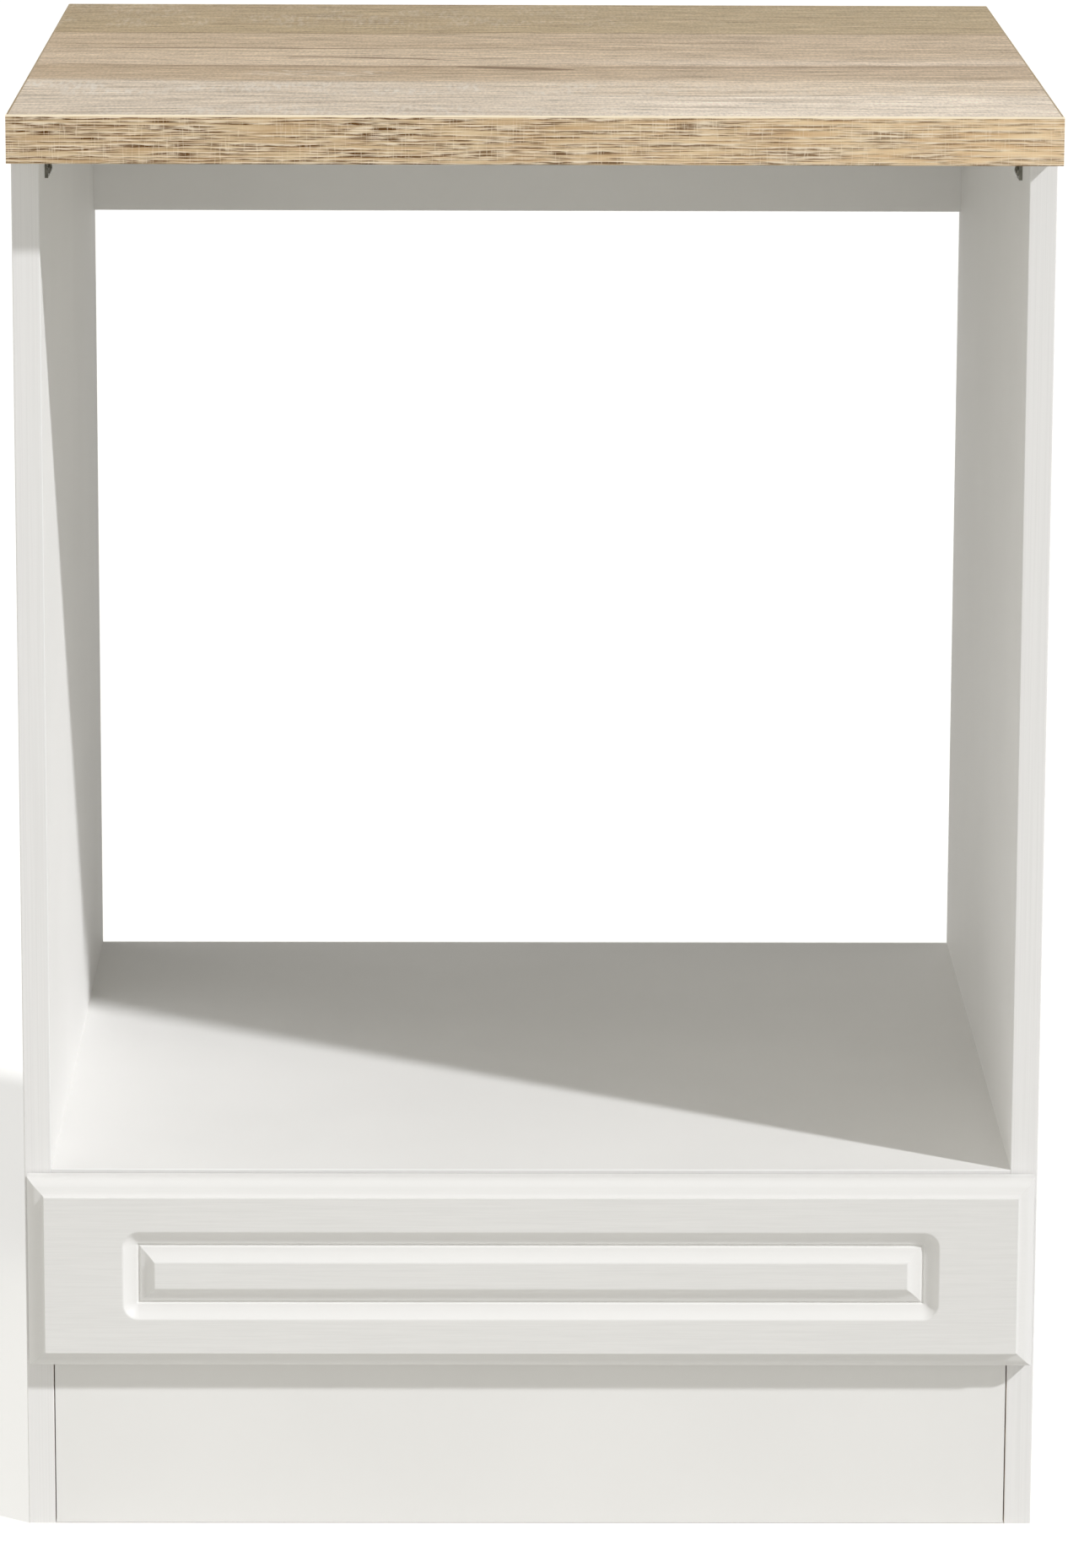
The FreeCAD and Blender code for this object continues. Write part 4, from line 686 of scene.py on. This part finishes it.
# head: a disc whose top falls away towards the rim, cut by two crossed wings that narrow downwards
def addScrewHead(tree, given):
    wingLong, wingWide = screwShape["wing"]
    size = {}
    for name, source, factor in (
            ("radius", "headDiameter", 0.5), ("half", "headHeight", 0.5),
            ("wingLong", "headDiameter", wingLong), ("wingWide", "headDiameter", wingWide),
            ("wingHigh", "recessDepth", 2.0)):
        size[name] = addNode(tree, "ShaderNodeMath", {"operation": "MULTIPLY"}, {
            0: given[source], 1: factor}).outputs[0]
    disc = addNode(tree, "GeometryNodeMeshCylinder", {"fill_type": "TRIANGLE_FAN"}, {
        "Vertices": screwShape["rimPoints"], "Side Segments": 1, "Fill Segments": screwShape["headRings"],
        "Radius": size["radius"], "Depth": given["headHeight"]})
    at = addNode(tree, "GeometryNodeInputPosition").outputs[0]
    axes = addNode(tree, "ShaderNodeSeparateXYZ", {}, {0: at}).outputs
    flatSpot = addNode(tree, "ShaderNodeCombineXYZ", {}, {"X": axes["X"], "Y": axes["Y"]}).outputs[0]
    out = addNode(tree, "ShaderNodeVectorMath", {"operation": "LENGTH"}, {0: flatSpot}).outputs["Value"]
    share = addNode(tree, "ShaderNodeMath", {"operation": "DIVIDE"}, {0: out, 1: size["radius"]}).outputs[0]
    fall = addNode(tree, "ShaderNodeMath", {"operation": "POWER"}, {
        0: share, 1: screwShape["crownPower"]}).outputs[0]
    sink = addNode(tree, "ShaderNodeMath", {"operation": "MULTIPLY"}, {0: fall, 1: given["crown"]}).outputs[0]
    down = addNode(tree, "ShaderNodeMath", {"operation": "MULTIPLY"}, {0: sink, 1: -1}).outputs[0]
    drop = addNode(tree, "ShaderNodeCombineXYZ", {}, {"Z": down}).outputs[0]
    isTop = addNode(tree, "ShaderNodeMath", {"operation": "GREATER_THAN"}, {0: axes["Z"], 1: 0.0}).outputs[0]
    domed = addNode(tree, "GeometryNodeSetPosition", {}, {
        "Geometry": disc.outputs["Mesh"], "Selection": isTop, "Offset": drop})
    lift = addNode(tree, "ShaderNodeCombineXYZ", {}, {"Z": size["half"]}).outputs[0]
    head = addNode(tree, "GeometryNodeTransform", {}, {"Geometry": domed, "Translation": lift})
    wingSize = addNode(tree, "ShaderNodeCombineXYZ", {}, {
        "X": size["wingLong"], "Y": size["wingWide"], "Z": size["wingHigh"]}).outputs[0]
    block = addNode(tree, "GeometryNodeMeshCube", {}, {"Size": wingSize})
    isLow = addNode(tree, "ShaderNodeMath", {"operation": "LESS_THAN"}, {0: axes["Z"], 1: 0.0}).outputs[0]
    taper = addNode(tree, "ShaderNodeVectorMath", {"operation": "MULTIPLY"}, {
        0: at, 1: screwShape["wingFoot"]}).outputs[0]
    wing = addNode(tree, "GeometryNodeSetPosition", {}, {
        "Geometry": block.outputs["Mesh"], "Selection": isLow, "Position": taper})
    up = addNode(tree, "ShaderNodeCombineXYZ", {}, {"Z": given["headHeight"]}).outputs[0]
    recessed = addNode(tree, "GeometryNodeMeshBoolean", {"operation": "DIFFERENCE", "solver": "EXACT"}, {
        "Mesh 1": head})
    for turn in (0.0, math.pi / 2):
        turned = addNode(tree, "GeometryNodeTransform", {}, {
            "Geometry": wing, "Translation": up, "Rotation": (0, 0, turn)})
        tree.links.new(turned.outputs[0], recessed.inputs["Mesh 2"])
    return recessed.outputs[0]


# shank and its point
def addScrewShank(tree, given):
    points = screwShape["shankPoints"]
    tipLength = screwShape["tipLength"]
    radius = addNode(tree, "ShaderNodeMath", {"operation": "MULTIPLY"}, {
        0: given["shankDiameter"], 1: 0.5}).outputs[0]
    straight = addNode(tree, "ShaderNodeMath", {"operation": "SUBTRACT"}, {
        0: given["shankLength"], 1: tipLength}).outputs[0]
    middle = addNode(tree, "ShaderNodeMath", {"operation": "MULTIPLY"}, {0: straight, 1: -0.5}).outputs[0]
    end = addNode(tree, "ShaderNodeMath", {"operation": "MULTIPLY"}, {
        0: given["shankLength"], 1: -1}).outputs[0]
    rod = addNode(tree, "GeometryNodeMeshCylinder", {"fill_type": "NGON"}, {
        "Vertices": points, "Radius": radius, "Depth": straight})
    tip = addNode(tree, "GeometryNodeMeshCone", {"fill_type": "NGON"}, {
        "Vertices": points, "Radius Top": radius, "Radius Bottom": 0.0, "Depth": tipLength})
    parts = []
    for form, height in ((rod, middle), (tip, end)):
        place = addNode(tree, "ShaderNodeCombineXYZ", {}, {"Z": height}).outputs[0]
        parts.append(addNode(tree, "GeometryNodeTransform", {}, {
            "Geometry": form.outputs["Mesh"], "Translation": place}).outputs[0])
    return parts


def screwTree():
    tree = bpy.data.node_groups.new("crossHeadScrew", "GeometryNodeTree")
    tree.interface.new_socket("Geometry", in_out="OUTPUT", socket_type="NodeSocketGeometry")
    tree.interface.new_socket("Geometry", in_out="INPUT", socket_type="NodeSocketGeometry")
    for name in ("headDiameter", "headHeight", "crown", "shankDiameter", "shankLength", "recessDepth"):
        tree.interface.new_socket(name, in_out="INPUT", socket_type="NodeSocketFloat")
    tree.interface.new_socket("seed", in_out="INPUT", socket_type="NodeSocketInt")
    tree.interface.new_socket("steel", in_out="INPUT", socket_type="NodeSocketMaterial")
    given = addNode(tree, "NodeGroupInput").outputs
    whole = addNode(tree, "GeometryNodeJoinGeometry")
    for part in (addScrewHead(tree, given), *addScrewShank(tree, given)):
        tree.links.new(part, whole.inputs[0])
    angle = addNode(tree, "GeometryNodeInputMeshEdgeAngle").outputs["Unsigned Angle"]
    soft = addNode(tree, "ShaderNodeMath", {"operation": "LESS_THAN"}, {
        0: angle, 1: math.radians(screwShape["softAngle"])}).outputs[0]
    edges = addNode(tree, "GeometryNodeSetShadeSmooth", {"domain": "EDGE"}, {
        "Geometry": whole, "Shade Smooth": soft})
    smooth = addNode(tree, "GeometryNodeSetShadeSmooth", {"domain": "FACE"}, {
        "Geometry": edges, "Shade Smooth": True})
    # one on every seat, looking along aim and turned by chance
    aim = addNode(tree, "GeometryNodeInputNamedAttribute", {"data_type": "FLOAT_VECTOR"}, {"Name": "aim"})
    looking = addNode(tree, "FunctionNodeAlignRotationToVector", {"axis": "Z"}, {"Vector": aim})
    chance = addNode(tree, "FunctionNodeRandomValue", {"data_type": "FLOAT"}, {
        2: 0.0, 3: math.pi / 2, "Seed": given["seed"]})
    spin = addNode(tree, "FunctionNodeAxisAngleToRotation", {}, {
        "Axis": (0, 0, 1), "Angle": chance.outputs[1]})
    turned = addNode(tree, "FunctionNodeRotateRotation", {"rotation_space": "LOCAL"}, {
        0: looking, 1: spin})
    placed = addNode(tree, "GeometryNodeInstanceOnPoints", {}, {
        "Points": given["Geometry"], "Instance": smooth, "Rotation": turned})
    real = addNode(tree, "GeometryNodeRealizeInstances", {}, {"Geometry": placed})
    steel = addNode(tree, "GeometryNodeSetMaterial", {}, {"Geometry": real, "Material": given["steel"]})
    addNode(tree, "NodeGroupOutput", {}, {0: steel})
    return tree


screwGroup = screwTree()
sockets = {s.name: s.identifier for s in screwGroup.interface.items_tree if s.in_out == "INPUT"}
for seed, (setName, screwSet) in enumerate(screwSets.items(), screwShape["firstSeed"]):
    points = bpy.data.meshes.new(setName + ".seats")
    points.from_pydata([[v / 1000 for v in seat] for seat, aim in screwSet["seats"]], [], [])
    aims = points.attributes.new("aim", "FLOAT_VECTOR", "POINT")
    aims.data.foreach_set("vector", [float(v) for seat, aim in screwSet["seats"] for v in aim])
    screws = bpy.data.objects.new(setName, points)
    scene.collection.objects.link(screws)
    modifier = screws.modifiers.new("screws", "NODES")
    modifier.node_group = screwGroup
    for name, value in screwSorts[screwSet["sort"]].items():
        modifier[sockets[name]] = value
    modifier[sockets["seed"]] = seed
    modifier[sockets["steel"]] = zincSteel
    bpy.context.view_layer.update()
    graph = bpy.context.evaluated_depsgraph_get()
    mesh = bpy.data.meshes.new_from_object(screws.evaluated_get(graph), depsgraph=graph)
    screws.modifiers.remove(modifier)
    screws.data = mesh
    mesh.name = setName
    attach(screws, screwSet["body"])
    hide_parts(screwSet["replaces"])
    print("screws set:", setName, len(mesh.polygons), "faces")


# Studio: white floor that keeps the cabinet's shadow, one hard lamp from the upper right and white all round.
studio = {
    "floorSize": 60.0,
    "floorColour": "#D9D8D4",
    "floorGlow": 0.52,             # white added to what the eye sees of the floor, which keeps its shadow
    "fillColour": "#FFFDF6",
    "fillStrength": {"front": 0.52, "back": 0.2, "left": 0.8, "right": 0.17},   # each side of the room
    "backFall": (0.7, 0.05),       # behind the cabinet: a view this steep upwards has this light
    "keyColour": "#FBFCFF",
    "keyStrength": 2.16,
    "keyTravel": (-0.643, 0.443, -0.624),
    "keyAngle": 2.6,               # degrees, for the softness of its shadow
}


# 1 where the eye sees a thing, also by way of metal or glass
def addSeen(tree):
    path = addNode(tree, "ShaderNodeLightPath").outputs
    seen = path["Is Camera Ray"]
    for ray in ("Is Glossy Ray", "Is Transmission Ray"):
        seen = addNode(tree, "ShaderNodeMath", {"operation": "ADD", "use_clamp": True}, {
            0: seen, 1: path[ray]}).outputs[0]
    return seen


def makeFloor():
    half = studio["floorSize"] / 2
    mesh = bpy.data.meshes.new("studioFloor")
    corners = [(-half, -half, 0), (half, -half, 0), (half, half, 0), (-half, half, 0)]
    mesh.from_pydata(corners, [], [(0, 1, 2, 3)])
    floor = bpy.data.objects.new("studioFloor", mesh)
    scene.collection.objects.link(floor)
    material = bpy.data.materials.new("studioFloorPaper")
    material.use_nodes = True
    tree = material.node_tree
    tree.nodes.clear()
    paper = addNode(tree, "ShaderNodeBsdfDiffuse", {}, {"Color": hexToLinear(studio["floorColour"])})
    glow = addNode(tree, "ShaderNodeMath", {"operation": "MULTIPLY"}, {
        0: addSeen(tree), 1: studio["floorGlow"]})
    white = addNode(tree, "ShaderNodeEmission", {}, {"Strength": glow})
    both = addNode(tree, "ShaderNodeAddShader", {}, {0: paper, 1: white})
    addNode(tree, "ShaderNodeOutputMaterial", {}, {"Surface": both})
    mesh.materials.append(material)


# the room is brightest in front and on the left; behind the cabinet only a low band is light
def makeRoom():
    world = bpy.data.worlds.new("studioRound")
    scene.world = world
    world.use_nodes = True
    tree = world.node_tree
    tree.nodes.clear()
    side = studio["fillStrength"]
    spot = addNode(tree, "ShaderNodeTexCoord").outputs["Generated"]
    way = addNode(tree, "ShaderNodeSeparateXYZ", {}, {0: spot}).outputs
    # share of front and back in a level direction; the small number keeps straight up from dividing by zero
    acrossSquare = addNode(tree, "ShaderNodeMath", {"operation": "MULTIPLY_ADD"}, {
        0: way["X"], 1: way["X"], 2: 0.000001})
    depthSquare = addNode(tree, "ShaderNodeMath", {"operation": "MULTIPLY"}, {0: way["Y"], 1: way["Y"]})
    levelSquare = addNode(tree, "ShaderNodeMath", {"operation": "ADD"}, {0: acrossSquare, 1: depthSquare})
    depthShare = addNode(tree, "ShaderNodeMath", {"operation": "DIVIDE"}, {
        0: depthSquare, 1: levelSquare})
    isBack = addNode(tree, "ShaderNodeMath", {"operation": "GREATER_THAN"}, {0: way["Y"], 1: 0.0})
    isRight = addNode(tree, "ShaderNodeMath", {"operation": "GREATER_THAN"}, {0: way["X"], 1: 0.0})
    steep, leftThere = studio["backFall"]
    lowBand = addNode(tree, "ShaderNodeMapRange", {}, {
        0: way["Z"], 1: 0.0, 2: steep, 3: side["back"], 4: leftThere})
    depthLight = addNode(tree, "ShaderNodeMix", {}, {0: isBack, 2: side["front"], 3: lowBand})
    sideLight = addNode(tree, "ShaderNodeMix", {}, {0: isRight, 2: side["left"], 3: side["right"]})
    level = addNode(tree, "ShaderNodeMix", {}, {0: depthShare, 2: sideLight, 3: depthLight})
    fill = addNode(tree, "ShaderNodeBackground", {}, {
        "Color": hexToLinear(studio["fillColour"]), "Strength": level})
    white = addNode(tree, "ShaderNodeBackground", {}, {"Color": (1, 1, 1, 1), "Strength": 1.0})
    both = addNode(tree, "ShaderNodeMixShader", {}, {0: addSeen(tree), 1: fill, 2: white})
    addNode(tree, "ShaderNodeOutputWorld", {}, {"Surface": both})


def makeKeyLamp():
    lamp = bpy.data.lights.new("keyLamp", "SUN")
    lamp.color = hexToLinear(studio["keyColour"])[:3]
    lamp.energy = studio["keyStrength"]
    lamp.angle = math.radians(studio["keyAngle"])
    key = bpy.data.objects.new("keyLamp", lamp)
    scene.collection.objects.link(key)
    key.rotation_euler = Vector(studio["keyTravel"]).to_track_quat("-Z", "Y").to_euler()


makeFloor()
makeRoom()
makeKeyLamp()

# Camera a little above the worktop, almost square to the front, as in the photograph.
viewpoint = {
    "place": (-0.032, -4.103, 1.310),
    "pitch": -12.56,               # degrees
    "yaw": -0.49,
    "roll": -0.20,
    "focalPixels": 7983,           # focal length in pixels of a 1266 x 1858 frame
    "frameHeight": 1858,
    "sensor": 36,                  # mm
    "farthest": 200,               # metres
}
camera = bpy.data.objects.new("photoCamera", bpy.data.cameras.new("photoCamera"))
scene.collection.objects.link(camera)
camera.data.sensor_width = viewpoint["sensor"]
camera.data.lens = viewpoint["focalPixels"] / viewpoint["frameHeight"] * viewpoint["sensor"]
camera.location = viewpoint["place"]
yawPart = Euler((0, 0, math.radians(viewpoint["yaw"]))).to_matrix()
pitchPart = Euler((math.radians(90 + viewpoint["pitch"]), 0, 0)).to_matrix()
rollPart = Euler((0, 0, math.radians(-viewpoint["roll"]))).to_matrix()
camera.rotation_euler = (yawPart @ pitchPart @ rollPart).to_euler()
camera.data.clip_end = viewpoint["farthest"]
scene.camera = camera
scene.view_settings.view_transform = "Standard"
print("studio and camera ready")
